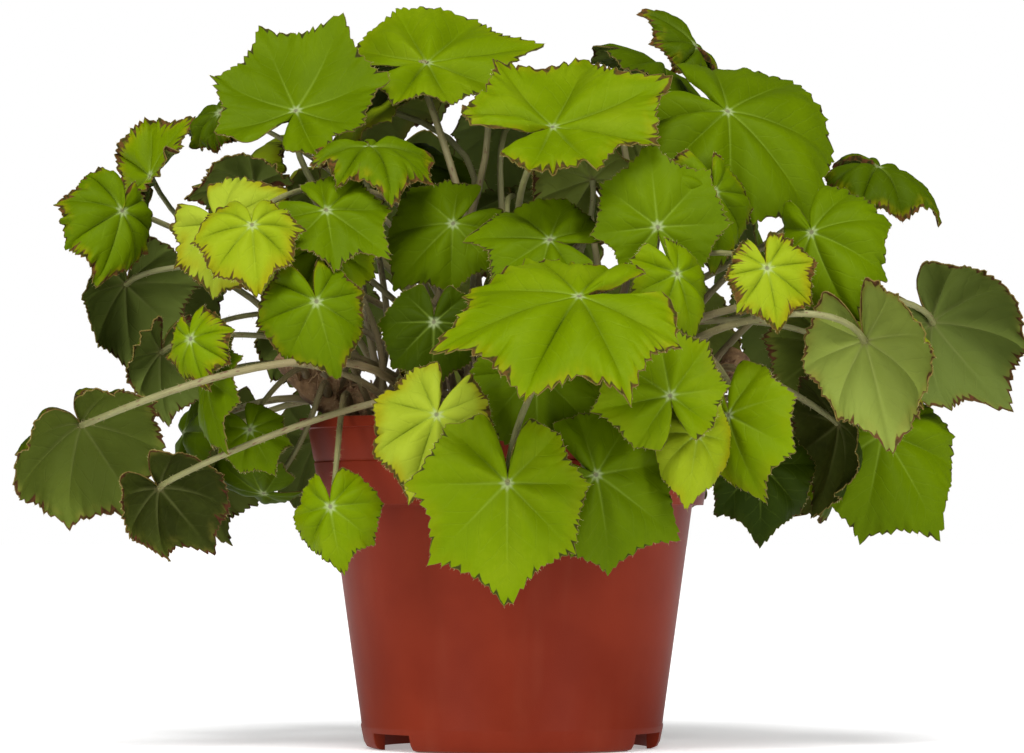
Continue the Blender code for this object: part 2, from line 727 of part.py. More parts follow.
def surface_tree(meshes):
    """One search tree over the faces of (points, faces) meshes."""
    points, faces = [], []
    for mesh_points, mesh_faces in meshes:
        start = len(points)
        points += [Vector(p) for p in mesh_points]
        faces += [tuple(start + k for k in face) for face in mesh_faces]
    return BVHTree.FromPolygons(points, faces)


def sides_of(name):
    return SHOOT_SIDES if name.startswith("shoot") else FRONT_SIDES


def blade_skin(blade, sides):
    """The blade alone, as a closed (points, faces) mesh."""
    return loft(blade.rings(sides))


def object_mesh(obj):
    """An object's evaluated (points, faces)."""
    bpy.context.view_layer.update()
    mesh = obj.evaluated_get(bpy.context.evaluated_depsgraph_get()).to_mesh()
    return [obj.matrix_world @ v.co for v in mesh.vertices], [tuple(p.vertices) for p in mesh.polygons]


def stalk_ways(blade, roots):
    """Candidate stalks, best first: (root place, way out of it, reach, arrival, sway)."""
    level = np.array([blade.eye[0], blade.eye[1], 0])
    level = level / (np.linalg.norm(level) + 1e-9)
    side = np.array([-level[1], level[0], 0])
    up = np.array([0, 0, 1.0])
    ranked = []
    for root, out in roots:
        root, out = np.array(root), np.array(out)
        cost = np.linalg.norm(blade.eye - root) - OUTWARD_GAIN * np.dot(out, level)
        ranked.append((cost, len(ranked), root, out))
    ranked.sort(key=lambda entry: entry[:2])
    for swing, rise, (reach, arrival) in product(STALK_SWINGS, STALK_RISES, STALK_REACHES):
        for _, _, root, out in ranked[:STALK_ROOTS]:
            yield root, out, reach, arrival, side * swing + up * rise


def is_clear(line, radius, others, own, stalks):
    """Whether a stalk's middle line is clear of the other pieces, its own blade and the stalks before it."""
    for point in line:
        if others.find_nearest(Vector(point), radius + CLEARANCE)[0]:
            return False
    for point in line[: len(line) - OWN_BLADE_SKIP]:
        if own.find_nearest(Vector(point), radius + CLEARANCE)[0]:
            return False
    for other in stalks:
        apart = np.linalg.norm(line[:, None] - other[None], axis=2).min()
        if apart < 2 * radius + CLEARANCE + STALK_SAMPLE / 4:
            return False
    return True


def is_gentle(rings):
    """Whether no ring of a stalk is turned or twisted far from the one before it."""
    for low, high in zip(rings, rings[1:]):
        spokes, others = low - low.mean(axis=0), high - high.mean(axis=0)
        lengths = np.linalg.norm(spokes, axis=1) * np.linalg.norm(others, axis=1)
        if ((spokes * others).sum(axis=1) / lengths).min() < LEAST_AGREEMENT:
            return False
    return True


def sampled(rings):
    """Points closer together than STALK_SAMPLE along the middle line through a stalk's rings."""
    middles = np.array([ring.mean(axis=0) for ring in rings])
    points = [middles[0]]
    for a, b in zip(middles, middles[1:]):
        steps = max(1, math.ceil(np.linalg.norm(b - a) / STALK_SAMPLE))
        points += [a + (b - a) * (k + 1) / steps for k in range(steps)]
    return np.array(points)


def route_stalks(leaves, solids, sites, stubs):
    """The rings of each blade's stalk, along the first of its ways that is clear; lowest blades first."""
    order = sorted(range(len(leaves)), key=lambda i: leaves[i][1].eye[2])
    skins = [blade_skin(blade, sides_of(name)) for name, blade in leaves]
    stalks, lines, free = {}, {}, list(sites)
    for i in order:
        name, blade = leaves[i]
        others = surface_tree([skins[k] for k in range(len(leaves)) if k != i] + solids)
        own = surface_tree([skins[i]])
        roots, skip, apart = free, ROOT_SKIP, list(lines.values())
        if name.startswith("shoot"):
            top = Vector((*stubs[int(name[-1]) - 1], SOIL_EDGE_Z + STUB_HEIGHT - STUB_RADIUS))
            level = Vector((blade.eye[0] - top.x, blade.eye[1] - top.y, 0)).normalized()
            roots = [(top, (level + Vector((0, 0, STALK_RISE))).normalized())]
            skip = STUB_SKIP
            apart = [line for k, line in lines.items() if leaves[k][0] != name]
        for root, out, reach, arrival, sway in stalk_ways(blade, roots):
            rings = stalk_rings(blade, root, out, reach, arrival, sway, sides_of(name))
            whole = [*rings, blade.ring(sides_of(name), 0, 0)]
            line = sampled(whole)[skip:]
            if is_gentle(whole) and is_clear(line, STALK_RADIUS, others, own, apart):
                stalks[i] = rings
                lines[i] = line
                free = [site for site in free if np.linalg.norm(np.array(site[0]) - root) > SITE_TAKEN]
                break
        else:
            print("no clear way for", name, blade.eye.round(3))
    return stalks


def fused(name, pieces, home, finish):
    """One body from overlapping pieces, which are removed."""
    group = collection(name + "_pieces", shown=False)
    for piece in pieces[1:]:
        home.objects.unlink(piece)
        group.objects.link(piece)
    body = pieces[0]
    union = body.modifiers.new("Fuse", "BOOLEAN")
    union.operation = "UNION"
    union.operand_type = "COLLECTION"
    union.solver = "MANIFOLD"
    union.collection = group
    bpy.context.view_layer.update()
    mesh = bpy.data.meshes.new_from_object(body.evaluated_get(bpy.context.evaluated_depsgraph_get()))
    body.modifiers.remove(union)
    body.data = mesh
    mesh.name = name
    for piece in pieces[1:]:
        bpy.data.objects.remove(piece)
    bpy.data.collections.remove(group)
    body.name = name
    mesh.materials.clear()
    mesh.materials.append(finish)
    return body


def build_stub(name, place, swell, home):
    """The short upright stem of a shoot, sunk in the soil and rounded over at its top."""
    rise = STUB_HEIGHT + STUB_SUNK + 2 * swell
    wide = STUB_RADIUS + swell
    bm = bmesh.new()
    bmesh.ops.create_uvsphere(bm, u_segments=8, v_segments=6, radius=1)
    bmesh.ops.scale(bm, vec=(wide, wide, rise / 2), verts=bm.verts)
    bmesh.ops.translate(bm, vec=(*place, SOIL_EDGE_Z + STUB_HEIGHT + swell - rise / 2), verts=bm.verts)
    mesh = bpy.data.meshes.new(name)
    bm.to_mesh(mesh)
    bm.free()
    obj = bpy.data.objects.new(name, mesh)
    home.objects.link(obj)
    return obj


def stub_places():
    """Where the shoots stand in the soil, round the back of the pot."""
    return [tuple(facing(shoot_turn(i), 0) * STUB_CIRCLE)[:2] for i in range(SHOOT_COUNT)]


def centre(home):
    """Moves all the finished pieces together, until the origin lies under the middle of their box."""
    bpy.context.view_layer.update()
    graph = bpy.context.evaluated_depsgraph_get()
    finished = [(obj, bpy.data.meshes.new_from_object(obj.evaluated_get(graph))) for obj in home.objects]
    points = np.array([vertex.co[:2] for _, mesh in finished for vertex in mesh.vertices])
    middle = (points.min(axis=0) + points.max(axis=0)) / 2
    for obj, mesh in finished:
        mesh.transform(Matrix.Translation((-middle[0], -middle[1], 0)))
        obj.modifiers.clear()
        obj.data = mesh
        mesh.name = obj.name


def build():
    clear_scene()
    home = collection("potted_begonia")
    cutters = collection("cutters", shown=False)
    stem = material("stem", STEM_BROWN, STEM_ROUGHNESS)
    leaf = material("leaf", LEAF_LIME, LEAF_ROUGHNESS)
    pot = build_pot(home, cutters)
    rhizomes = [build_rhizome(rhizome, 0, home, stem) for rhizome in RHIZOMES]
    troughs = [as_cutter(build_rhizome(rhizome, SEAT_GAP, cutters)) for rhizome in RHIZOMES]
    stubs = [build_stub(f"stub_{i + 1}", place, 0, home) for i, place in enumerate(stub_places())]
    for i, place in enumerate(stub_places()):
        troughs.append(as_cutter(build_stub(f"stub_hollow_{i + 1}", place, SEAT_GAP, cutters)))
    soil = build_soil(home, troughs)

    rng = random.Random(SEED)
    leaves = front_blades(rng) + shoot_blades(rng)
    settle([blade for _, blade in leaves])
    solids = [object_mesh(obj) for obj in [pot, soil, *rhizomes, *stubs]]
    stalks = route_stalks(leaves, solids, stalk_sites(), stub_places())
    shoots = {}
    for i, (name, blade) in enumerate(leaves):
        if i not in stalks:
            continue
        points, faces = loft(stalks[i] + blade.rings(sides_of(name)))
        made = mesh_object(name, points, faces, home, leaf)
        if name.startswith("shoot"):
            shoots.setdefault(name, []).append(made)
    for name, pieces in shoots.items():
        fused(name, [stubs[int(name[-1]) - 1], *pieces], home, leaf)
    centre(home)


if __name__ == "__main__":
    build()
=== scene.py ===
"""A potted begonia, dressed for its picture: fine toothed leaves, hairy stalks, papery stems, a moulded pot.

Metres, +Z up, and the front faces -Y. Every piece is built round the pot's axis, and moved to where the axis
stands in the frame once it is finished.
"""

import logging
import math
import random
from collections.abc import Callable
from dataclasses import dataclass, field
from enum import Enum
from itertools import product

import bpy
import numpy as np
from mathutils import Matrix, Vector


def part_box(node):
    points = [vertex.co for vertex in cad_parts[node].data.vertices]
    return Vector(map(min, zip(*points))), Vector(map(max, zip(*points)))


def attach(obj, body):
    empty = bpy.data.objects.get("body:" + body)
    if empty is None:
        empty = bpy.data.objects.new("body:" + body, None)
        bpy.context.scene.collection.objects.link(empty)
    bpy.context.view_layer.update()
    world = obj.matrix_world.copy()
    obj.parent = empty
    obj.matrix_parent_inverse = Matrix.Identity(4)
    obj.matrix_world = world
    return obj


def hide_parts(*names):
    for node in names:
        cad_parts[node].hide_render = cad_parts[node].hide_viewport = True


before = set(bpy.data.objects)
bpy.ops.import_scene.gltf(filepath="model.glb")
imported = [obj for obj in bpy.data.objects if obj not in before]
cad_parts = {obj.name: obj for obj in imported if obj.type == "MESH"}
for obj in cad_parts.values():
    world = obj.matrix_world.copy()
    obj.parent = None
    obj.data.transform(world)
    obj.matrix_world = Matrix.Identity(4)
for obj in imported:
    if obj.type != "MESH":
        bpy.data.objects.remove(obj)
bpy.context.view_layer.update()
POT_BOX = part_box("pot")
AXIS = np.array([(POT_BOX[0][0] + POT_BOX[1][0]) / 2, (POT_BOX[0][1] + POT_BOX[1][1]) / 2, 0.0])

LOG = logging.getLogger("begonia")
MM = 0.001
UP = np.array([0.0, 0.0, 1.0])
FULL_TURN = 2 * math.pi
NEXT_TO_NOTHING = 1e-9

# How near two points lie that are one, how near they are welded, and how closely a stalk fits its packed one
SAME_POINT = 0.00005
WELD_REACH = 0.00001
STALK_FIT = 0.0004

# A hair's radius, and a direction that hairs hardly ever follow
HAIR_RADIUS = 0.00007
ASKEW = np.array([0.31, 0.52, 0.79])

# A blade's lobes, the length that the sizes of its relief are given for, and what keeps a tip's depth finite
# where the blade is seen from its edge
LOBES = 8
MIDDLING_BLADE = 0.05
EDGE_ON = 0.02

# The stops at which a leaf's finish names a colour, from young to old and on to the painted shade of leaves
# deep in the crown
AGE_AND_SHADE_STOPS = (0.0, 0.18, 0.34, 0.5, 0.68, 0.84, 1.0)

# The camera, and the point from which the leaves' places are read
VIEW_DISTANCE = 1.93
VIEW_HEIGHT = 0.091
LENS = 160
SENSOR_WIDTH = 36
FRAME_WIDTH = 0.4347
FRAME_MIDDLE = 0.1573


class Slot(Enum):
    """The record's material slots."""

    POT = "pot_plastic"
    MIX = "potting_mix"
    STEM = "stem"
    LEAF = "leaf"


class AgeAndShade(Enum):
    """How far a leaf has gone from yellow-green towards dark green: NEW to OLD by its age, and SHADED and
    DARK as painted shade, for leaves that sit in shade inside and under the crown.
    """

    NEW = 0.05
    YOUNG = 0.18
    BRIGHT = 0.34
    FULL = 0.48
    OLD = 0.68
    SHADED = 0.84
    DARK = 0.98


class Edge(Enum):
    """How much brown a leaf has along its margin."""

    CLEAN = 0.25
    FLECKED = 0.5
    BROWN = 0.75
    SCORCHED = 1.0


def paint(red: int, green: int, blue: int) -> tuple[float, float, float, float]:
    """A linear colour from display values of 0 to 255.

    Args:
        red: The display's red.
        green: The display's green.
        blue: The display's blue.

    Returns:
        The linear red, green, blue and alpha.
    """
    shares = [value / 255 for value in (red, green, blue)]
    linear = [s / 12.92 if s <= 0.04045 else ((s + 0.055) / 1.055) ** 2.4 for s in shares]
    return (*linear, 1.0)


def toned_by_age_and_shade(*colours: tuple[int, int, int]) -> tuple:
    """Pairs of a stop and its colour, from the display values for each stop: young to old, then painted
    shade.
    """
    return tuple((stop, paint(*colour)) for stop, colour in zip(AGE_AND_SHADE_STOPS, colours))


def math_node(operation: str, other_first: bool = False) -> Callable[..., "Level"]:
    """A method of a level that adds a Math node.

    Args:
        operation: The node's operation.
        other_first: Whether the other number comes before the level's own.

    Returns:
        The method.
    """

    def method(self: "Level", *others: "Level | float") -> "Level":
        """Adds the node.

        Args:
            self: The level.
            others: The node's other numbers.

        Returns:
            The node's value.
        """
        terms = (*others, self) if other_first else (self, *others)
        made = self.recipe.node("ShaderNodeMath", {"operation": operation}, dict(enumerate(terms)))
        return Level(self.recipe, made.outputs[0])

    return method


class Level:
    """A number that varies over a surface. Sums on it add Math nodes to its recipe."""

    __add__ = __radd__ = math_node("ADD")
    __sub__ = math_node("SUBTRACT")
    __rsub__ = math_node("SUBTRACT", other_first=True)
    __mul__ = __rmul__ = math_node("MULTIPLY")
    __truediv__ = math_node("DIVIDE")
    __abs__ = math_node("ABSOLUTE")
    nearest_whole = math_node("ROUND")
    wrapped = math_node("FRACT")
    at_most = math_node("MINIMUM")

    def __init__(self, recipe: "Recipe", socket: bpy.types.NodeSocket) -> None:
        """Wraps the output that carries the number, in a material under construction."""
        self.recipe = recipe
        self.socket = socket

    def rise(self, low: "Level | float", high: "Level | float") -> "Level":
        """A soft step.

        Args:
            low: Where it is still 0.
            high: Where it has become 1.

        Returns:
            A number from 0 to 1.
        """
        made = self.recipe.node(
            "ShaderNodeMapRange",
            {"interpolation_type": "SMOOTHSTEP"},
            {"Value": self, "From Min": low, "From Max": high},
        )
        return Level(self.recipe, made.outputs["Result"])

    def fall(self, low: "Level | float", high: "Level | float") -> "Level":
        """A soft step down, 1 below low and 0 above high."""
        return 1 - self.rise(low, high)


class Recipe:
    """A material under construction."""

    def __init__(self, name: str) -> None:
        """Starts an empty material.

        Args:
            name: Its name.
        """
        self.material = bpy.data.materials.new(name)
        self.material.use_nodes = True
        self.tree = self.material.node_tree
        self.tree.nodes.clear()

    def node(self, kind: str, settings: dict | None = None, inputs: dict | None = None) -> bpy.types.Node:
        """Adds a node.

        Args:
            kind: The node's type.
            settings: Its own settings, with "stops" for a ramp's places and colours.
            inputs: Values, levels or sockets for its inputs, by name or number.

        Returns:
            The node.
        """
        made = self.tree.nodes.new(kind)
        for key, value in (settings or {}).items():
            if key == "stops":
                elements = made.color_ramp.elements
                while len(elements) < len(value):
                    elements.new(1)
                for element, (place, colour) in zip(elements, value):
                    element.position, element.color = place, colour
            else:
                setattr(made, key, value)
        for key, value in (inputs or {}).items():
            if isinstance(value, Level):
                self.tree.links.new(value.socket, made.inputs[key])
            elif isinstance(value, bpy.types.NodeSocket):
                self.tree.links.new(value, made.inputs[key])
            else:
                made.inputs[key].default_value = value
        return made

    def attribute(self, name: str) -> Level:
        """A number that the mesh carries on its points."""
        settings = {"attribute_name": name, "attribute_type": "GEOMETRY"}
        return Level(self, self.node("ShaderNodeAttribute", settings).outputs["Fac"])

    def place(self) -> bpy.types.NodeSocket:
        """Where a point of the piece is, in metres."""
        return self.node("ShaderNodeTexCoord").outputs["Object"]

    def across_and_along(self) -> tuple[Level, Level]:
        """The two numbers of the piece's UV map."""
        parts = self.node("ShaderNodeSeparateXYZ", None, {0: self.node("ShaderNodeUVMap").outputs[0]})
        return Level(self, parts.outputs[0]), Level(self, parts.outputs[1])

    def stretched(self, scale: tuple, vector: bpy.types.NodeSocket) -> bpy.types.NodeSocket:
        """Coordinates multiplied by a scale on each axis."""
        return self.node("ShaderNodeMapping", None, {"Vector": vector, "Scale": scale}).outputs[0]

    def noise(self, per_metre: float, detail: float = 2, vector: bpy.types.NodeSocket | None = None) -> Level:
        """Soft irregular variation from 0 to 1, so many swells in a metre, or in a unit of the vector."""
        inputs = {"Vector": vector or self.place(), "Scale": per_metre, "Detail": detail}
        return Level(self, self.node("ShaderNodeTexNoise", None, inputs).outputs[0])

    def cells(self, per_metre: float, vector: bpy.types.NodeSocket | None = None) -> Level:
        """The distance to the nearest of scattered points, so many in a metre, or in a unit of the vector."""
        inputs = {"Vector": vector or self.place(), "Scale": per_metre}
        return Level(self, self.node("ShaderNodeTexVoronoi", {"feature": "F1"}, inputs).outputs["Distance"])

    def ramp(self, level: Level, *stops: tuple[float, tuple]) -> bpy.types.NodeSocket:
        """The colour at a level on a ramp, whose stops are pairs of a place and a colour."""
        return self.node("ShaderNodeValToRGB", {"stops": stops}, {0: level}).outputs[0]

    def mixed(self, share: Level | float, first: object, second: object) -> bpy.types.NodeSocket:
        """The first colour where share is 0, and the second where it is 1."""
        inputs = {0: share, 6: first, 7: second}
        return self.node("ShaderNodeMix", {"data_type": "RGBA"}, inputs).outputs[2]

    def surfaced(
        self,
        colour: object,
        roughness: Level | float,
        height: Level,
        depth: float,
        specular: float = 0.5,
        fixed: dict | None = None,
    ) -> bpy.types.Material:
        """Closes the recipe with one glossy or dull surface.

        Args:
            colour: The surface's colour.
            roughness: Its roughness.
            height: Its fine relief, from 0 to 1.
            depth: The relief's full height, in metres.
            specular: How strongly it mirrors, the same all over.
            fixed: Other inputs of the shader, the same all over.

        Returns:
            The material.
        """
        relief = self.node("ShaderNodeBump", None, {"Strength": 1.0, "Distance": depth, "Height": height})
        inputs = {"Base Color": colour, "Roughness": roughness, "Normal": relief.outputs[0]}
        inputs.update({"Specular IOR Level": specular, **(fixed or {})})
        shader = self.node("ShaderNodeBsdfPrincipled", None, inputs)
        self.node("ShaderNodeOutputMaterial", None, {0: shader.outputs[0]})
        return self.material


@dataclass(frozen=True)
class LeafFinish:
    """A leaf's upper side: lime with pale rays from a white star, and a brown-flecked margin.

    A reach is in millimetres, from the margin inwards or from the eye outwards, and a share is how much of a
    colour is mixed in.
    """

    name: str = "leaf_face"
    # The colours from young to old, and at the last two stops painted shade for leaves deep in the crown
    ages: tuple = toned_by_age_and_shade(
        (138, 152, 40), (118, 134, 16), (91, 112, 0), (74, 94, 0), (58, 75, 0), (44, 58, 0), (30, 42, 4)
    )
    vein: tuple = paint(132, 154, 58)
    star: tuple = paint(160, 170, 132)
    dot: tuple = paint(88, 84, 66)
    fleck: tuple = paint(40, 34, 18)
    scorch: tuple = paint(84, 48, 30)
    rim: tuple = paint(114, 102, 50)
    straw: tuple = paint(132, 124, 8)
    broad_scale: float = 38
    fine_scale: float = 420
    ragged_scale: float = 130
    brown_scale: float = 500
    age_shifts: tuple = (0.2, 0.05)
    pale_ages: tuple = (0.1, 0.42)
    pale_reach: tuple = (0.5, 9)
    pale_share: float = 0.8
    vein_shares: tuple = (0.24, 0.03)
    star_reach: tuple = (0.8, 3.9)
    star_share: float = 0.46
    arms: tuple = (2.5, 1.6)
    dot_reach: tuple = (0.9, 1.7)
    dot_share: float = 0.75
    scorched_edges: tuple = (0.45, 0.95)
    stain_depths: tuple = (0.1, 5.2, 3.2)
    stain_ease: tuple = (0.6, 0.25)
    stain_share: float = 0.9
    halo_reach: tuple = (1.6, 6.5)
    halo_share: float = 0.45
    rim_reach: tuple = (0.12, 0.4)
    rim_share: float = 0.6
    vein_width: tuple = (1.35, 1.0)
    vein_fade: tuple = (0.15, 0.8)
    branch_pitch: float = 7.0
    branch_slant: float = 1.15
    branch_width: float = 0.09
    raised: float = -1.0
    relief: tuple = (0.3, 0.2, 0.14)
    relief_depth: float = 0.0004
    gloss: tuple = (0.46, 0.12, 0.2)
    specular: float = 0.03

    def mix(self) -> bpy.types.Material:
        """Mixes the finish.

        Returns:
            The material.
        """
        recipe = Recipe(self.name)
        around, out = recipe.across_and_along()
        reach = recipe.attribute("reach_mm")
        rim = recipe.attribute("rim_mm")
        age = recipe.attribute("age")
        veins, branches = self.veins(recipe, around, out, reach)
        broad = recipe.noise(self.broad_scale, 2)
        fine = recipe.noise(self.fine_scale, 3)
        broad_shift, fine_shift = self.age_shifts
        # The tone by age, darkest where the table gives a leaf painted shade
        colour = recipe.ramp(age + broad_shift * (broad - 0.5) + fine_shift * (fine - 0.5), *self.ages)
        pale = age.fall(*self.pale_ages) * rim.fall(*self.pale_reach) * broad.rise(0.4, 0.6)
        colour = recipe.mixed(pale * self.pale_share, colour, self.straw)
        vein_share, branch_share = self.vein_shares
        colour = recipe.mixed((vein_share * veins + branch_share * branches).at_most(0.8), colour, self.vein)
        frayed, drawn_out = self.arms
        arms = reach + frayed * fine - drawn_out * veins
        colour = recipe.mixed(self.star_share * arms.fall(*self.star_reach), colour, self.star)
        colour = recipe.mixed(self.dot_share * (reach + 0.8 * fine).fall(*self.dot_reach), colour, self.dot)
        colour, stain = self.margin(recipe, colour, rim, fine)
        vein_rise, branch_rise, fine_rise = self.relief
        height = 0.5 + self.raised * (vein_rise * veins + branch_rise * branches) + fine_rise * fine
        plain, fine_dull, stain_dull = self.gloss
        roughness = plain + fine_dull * fine + stain_dull * stain
        return recipe.surfaced(colour, roughness, height, self.relief_depth, self.specular)

    def margin(self, recipe: Recipe, colour: object, rim: Level, fine: Level) -> tuple[object, Level]:
        """Stains the margin: brown in the notches between teeth, and all along a scorched edge.

        Args:
            recipe: The material under construction.
            colour: The blade's colour so far.
            rim: The distance from the margin, in millimetres.
            fine: Fine variation.

        Returns:
            The colour, and the stain's mask.
        """
        edge, notch = recipe.attribute("edge"), recipe.attribute("notch")
        ragged = recipe.noise(self.ragged_scale, 3)
        scorched = edge.rise(*self.scorched_edges)
        least, in_notch, in_scorch = self.stain_depths
        burnt = scorched * in_scorch * ragged.rise(0.36, 0.72)
        depth = edge * (least + in_notch * notch) * (0.5 + fine) + burnt
        full, soft = self.stain_ease
        stain = rim.fall(full * depth, depth + soft)
        halo = scorched * ragged.rise(0.4, 0.6) * rim.fall(*self.halo_reach)
        colour = recipe.mixed(halo * self.halo_share, colour, self.straw)
        patches = recipe.noise(self.brown_scale, 2).rise(0.4, 0.6)
        brown = recipe.mixed(patches * scorched, self.fleck, self.scorch)
        colour = recipe.mixed(stain * self.stain_share, colour, brown)
        return recipe.mixed(rim.fall(*self.rim_reach) * self.rim_share, colour, self.rim), stain

    def veins(self, recipe: Recipe, around: Level, out: Level, reach: Level) -> tuple[Level, Level]:
        """The main veins, which fade towards the margin, and their branches.

        Args:
            recipe: The material under construction.
            around: The share of a turn round the eye.
            out: The share of the way from the eye to the margin.
            reach: The distance from the eye, in millimetres.

        Returns:
            The main veins' and the branches' masks.
        """
        turn = LOBES * around - LOBES / 2
        beside = abs(turn - turn.nearest_whole()) * reach * (FULL_TURN / LOBES)
        broadest, narrowing = self.vein_width
        at_notch = abs(turn).fall(3.4, 3.6)
        main = beside.fall(0.0, broadest - narrowing * out) * out.fall(*self.vein_fade) * at_notch
        warp = recipe.noise(150, 2) * 3.5
        step = ((reach - self.branch_slant * beside + warp) / self.branch_pitch).wrapped()
        branch = abs(step - 0.5).fall(0.0, self.branch_width) * out.rise(0.12, 0.3) * out.fall(0.7, 1.0)
        return main, branch


@dataclass(frozen=True)
class UnderleafFinish(LeafFinish):
    """A leaf's lower side: greyer and duller, with veins that stand out."""

    name: str = "leaf_back"
    # The same for the lower side: young to old, and painted shade at the last two stops
    ages: tuple = toned_by_age_and_shade(
        (118, 132, 62), (106, 118, 48), (94, 108, 46), (92, 106, 48), (84, 96, 40), (76, 87, 28), (44, 50, 14)
    )
    vein: tuple = paint(112, 116, 68)
    star: tuple = paint(104, 98, 64)
    dot: tuple = paint(92, 80, 52)
    fleck: tuple = paint(54, 30, 20)
    scorch: tuple = paint(88, 44, 34)
    rim: tuple = paint(88, 70, 42)
    straw: tuple = paint(116, 110, 44)
    raised: float = 1.0
    gloss: tuple = (0.58, 0.12, 0.2)


@dataclass(frozen=True)
class StalkFinish:
    """A leaf stalk: olive-tan, greener towards the blade, with long reddish flecks."""

    name: str = "leaf_stalk"
    foot: tuple = paint(120, 103, 70)
    head: tuple = paint(122, 122, 74)
    shade: tuple = paint(96, 92, 50)
    shade_share: float = 0.35
    fleck: tuple = paint(92, 46, 32)
    fleck_scale: tuple = (7, 46, 1)
    fleck_size: tuple = (0.16, 0.3)
    fleck_share: float = 0.75
    rib_scale: tuple = (22, 5, 1)
    relief_depth: float = 0.0004

    def mix(self) -> bpy.types.Material:
        """Mixes the finish.

        Returns:
            The material.
        """
        recipe = Recipe(self.name)
        _, along = recipe.across_and_along()
        uv = recipe.node("ShaderNodeUVMap").outputs[0]
        colour = recipe.mixed(along.rise(0.1, 0.9), self.foot, self.head)
        shaded = recipe.noise(140, 2).rise(0.35, 0.75)
        colour = recipe.mixed(shaded * self.shade_share, colour, self.shade)
        spots = recipe.cells(1, recipe.stretched(self.fleck_scale, uv)).fall(*self.fleck_size)
        spots = spots * recipe.noise(90, 1).rise(0.4, 0.6)
        colour = recipe.mixed(spots * self.fleck_share, colour, self.fleck)
        ribs = recipe.noise(1, 2, recipe.stretched(self.rib_scale, uv))
        return recipe.surfaced(colour, 0.5 + 0.15 * ribs, ribs + 0.3 * spots, self.relief_depth)


@dataclass(frozen=True)
class HairFinish:
    """The fine pale hairs on stalks and margins."""

    name: str = "leaf_hair"
    pale: tuple = paint(178, 170, 118)
    tan: tuple = paint(150, 122, 80)
    tan_share: float = 0.6
    roughness: float = 0.6
    relief_depth: float = 0.0001

    def mix(self) -> bpy.types.Material:
        """Mixes the finish.

        Returns:
            The material.
        """
        recipe = Recipe(self.name)
        tint = recipe.noise(90, 1)
        colour = recipe.mixed(tint.rise(0.3, 0.7) * self.tan_share, self.pale, self.tan)
        return recipe.surfaced(colour, self.roughness, tint, self.relief_depth)


@dataclass(frozen=True)
class StemFinish:
    """The creeping stems' brown skin, and the papery scales on them."""

    name: str = "creeping_stem_skin"
    light: tuple = paint(146, 112, 74)
    dark: tuple = paint(84, 56, 34)
    per_metre: float = 160.0
    streak: tuple = paint(176, 146, 108)
    streak_share: float = 0.5
    relief_depth: float = 0.0008

    def mix(self) -> bpy.types.Material:
        """Mixes the finish.

        Returns:
            The material.
        """
        recipe = Recipe(self.name)
        patches = recipe.noise(self.per_metre, 4)
        streaks = recipe.noise(self.per_metre * 4, 3)
        colour = recipe.mixed(patches.rise(0.3, 0.7), self.dark, self.light)
        colour = recipe.mixed(streaks.rise(0.55, 0.75) * self.streak_share, colour, self.streak)
        return recipe.surfaced(colour, 0.62 + 0.2 * streaks, patches + streaks, self.relief_depth)


@dataclass(frozen=True)
class SoilFinish:
    """Dark peaty potting mix with paler fibres and bits of bark."""

    name: str = "potting_mix_crumb"
    dark: tuple = paint(34, 24, 18)
    light: tuple = paint(74, 52, 36)
    bark: tuple = paint(112, 82, 56)
    bark_share: float = 0.7
    lump_scale: float = 240
    bark_scale: float = 260
    roughness: float = 0.92
    relief_depth: float = 0.0016
    specular: float = 0.2

    def mix(self) -> bpy.types.Material:
        """Mixes the finish.

        Returns:
            The material.
        """
        recipe = Recipe(self.name)
        lumps = recipe.noise(self.lump_scale, 5)
        bits = recipe.cells(self.bark_scale).fall(0.12, 0.3) * recipe.noise(70, 2).rise(0.5, 0.66)
        colour = recipe.mixed(lumps.rise(0.35, 0.7), self.dark, self.light)
        colour = recipe.mixed(bits * self.bark_share, colour, self.bark)
        return recipe.surfaced(colour, self.roughness, lumps + 0.4 * bits, self.relief_depth, self.specular)


@dataclass(frozen=True)
class PotFinish:
    """Moulded brick-red plastic with a dull sheen, faint vertical flow and a little dust."""

    name: str = "pot_moulding"
    red: tuple = paint(117, 41, 23)
    deep: tuple = paint(107, 35, 19)
    dust: tuple = paint(124, 64, 46)
    dust_share: float = 0.16
    flow_scale: tuple = (70, 70, 9)
    cloud_scale: float = 26
    grain_scale: float = 2600
    roughness: tuple = (0.38, 0.06, 0.05)
    relief_depth: float = 0.00004
    specular: float = 0.05

    def mix(self) -> bpy.types.Material:
        """Mixes the finish.

        Returns:
            The material.
        """
        recipe = Recipe(self.name)
        flow = recipe.noise(1, 3, recipe.stretched(self.flow_scale, recipe.place()))
        cloud = recipe.noise(self.cloud_scale, 3)
        grain = recipe.noise(self.grain_scale, 2)
        colour = recipe.mixed(cloud.rise(0.3, 0.7), self.red, self.deep)
        colour = recipe.mixed(flow.rise(0.52, 0.8) * self.dust_share, colour, self.dust)
        plain, in_flow, in_grain = self.roughness
        roughness = plain + in_flow * flow + in_grain * grain
        return recipe.surfaced(colour, roughness, grain + 0.5 * flow, self.relief_depth, self.specular)


@dataclass(frozen=True)
class FloorFinish:
    """The pale studio floor, which glows a little so that it meets the white air without a horizon."""

    name: str = "studio_floor"
    pale: tuple = paint(250, 250, 250)
    cloud: tuple = paint(246, 246, 246)
    cloud_share: float = 0.2
    glow: float = 0.36
    roughness: float = 0.7
    relief_depth: float = 0.0001

    def mix(self) -> bpy.types.Material:
        """Mixes the finish.

        Returns:
            The material.
        """
        recipe = Recipe(self.name)
        clouds = recipe.noise(3, 2)
        colour = recipe.mixed(clouds * self.cloud_share, self.pale, self.cloud)
        glow = {"Emission Color": self.pale, "Emission Strength": self.glow}
        return recipe.surfaced(colour, self.roughness, clouds, self.relief_depth, 0.0, glow)


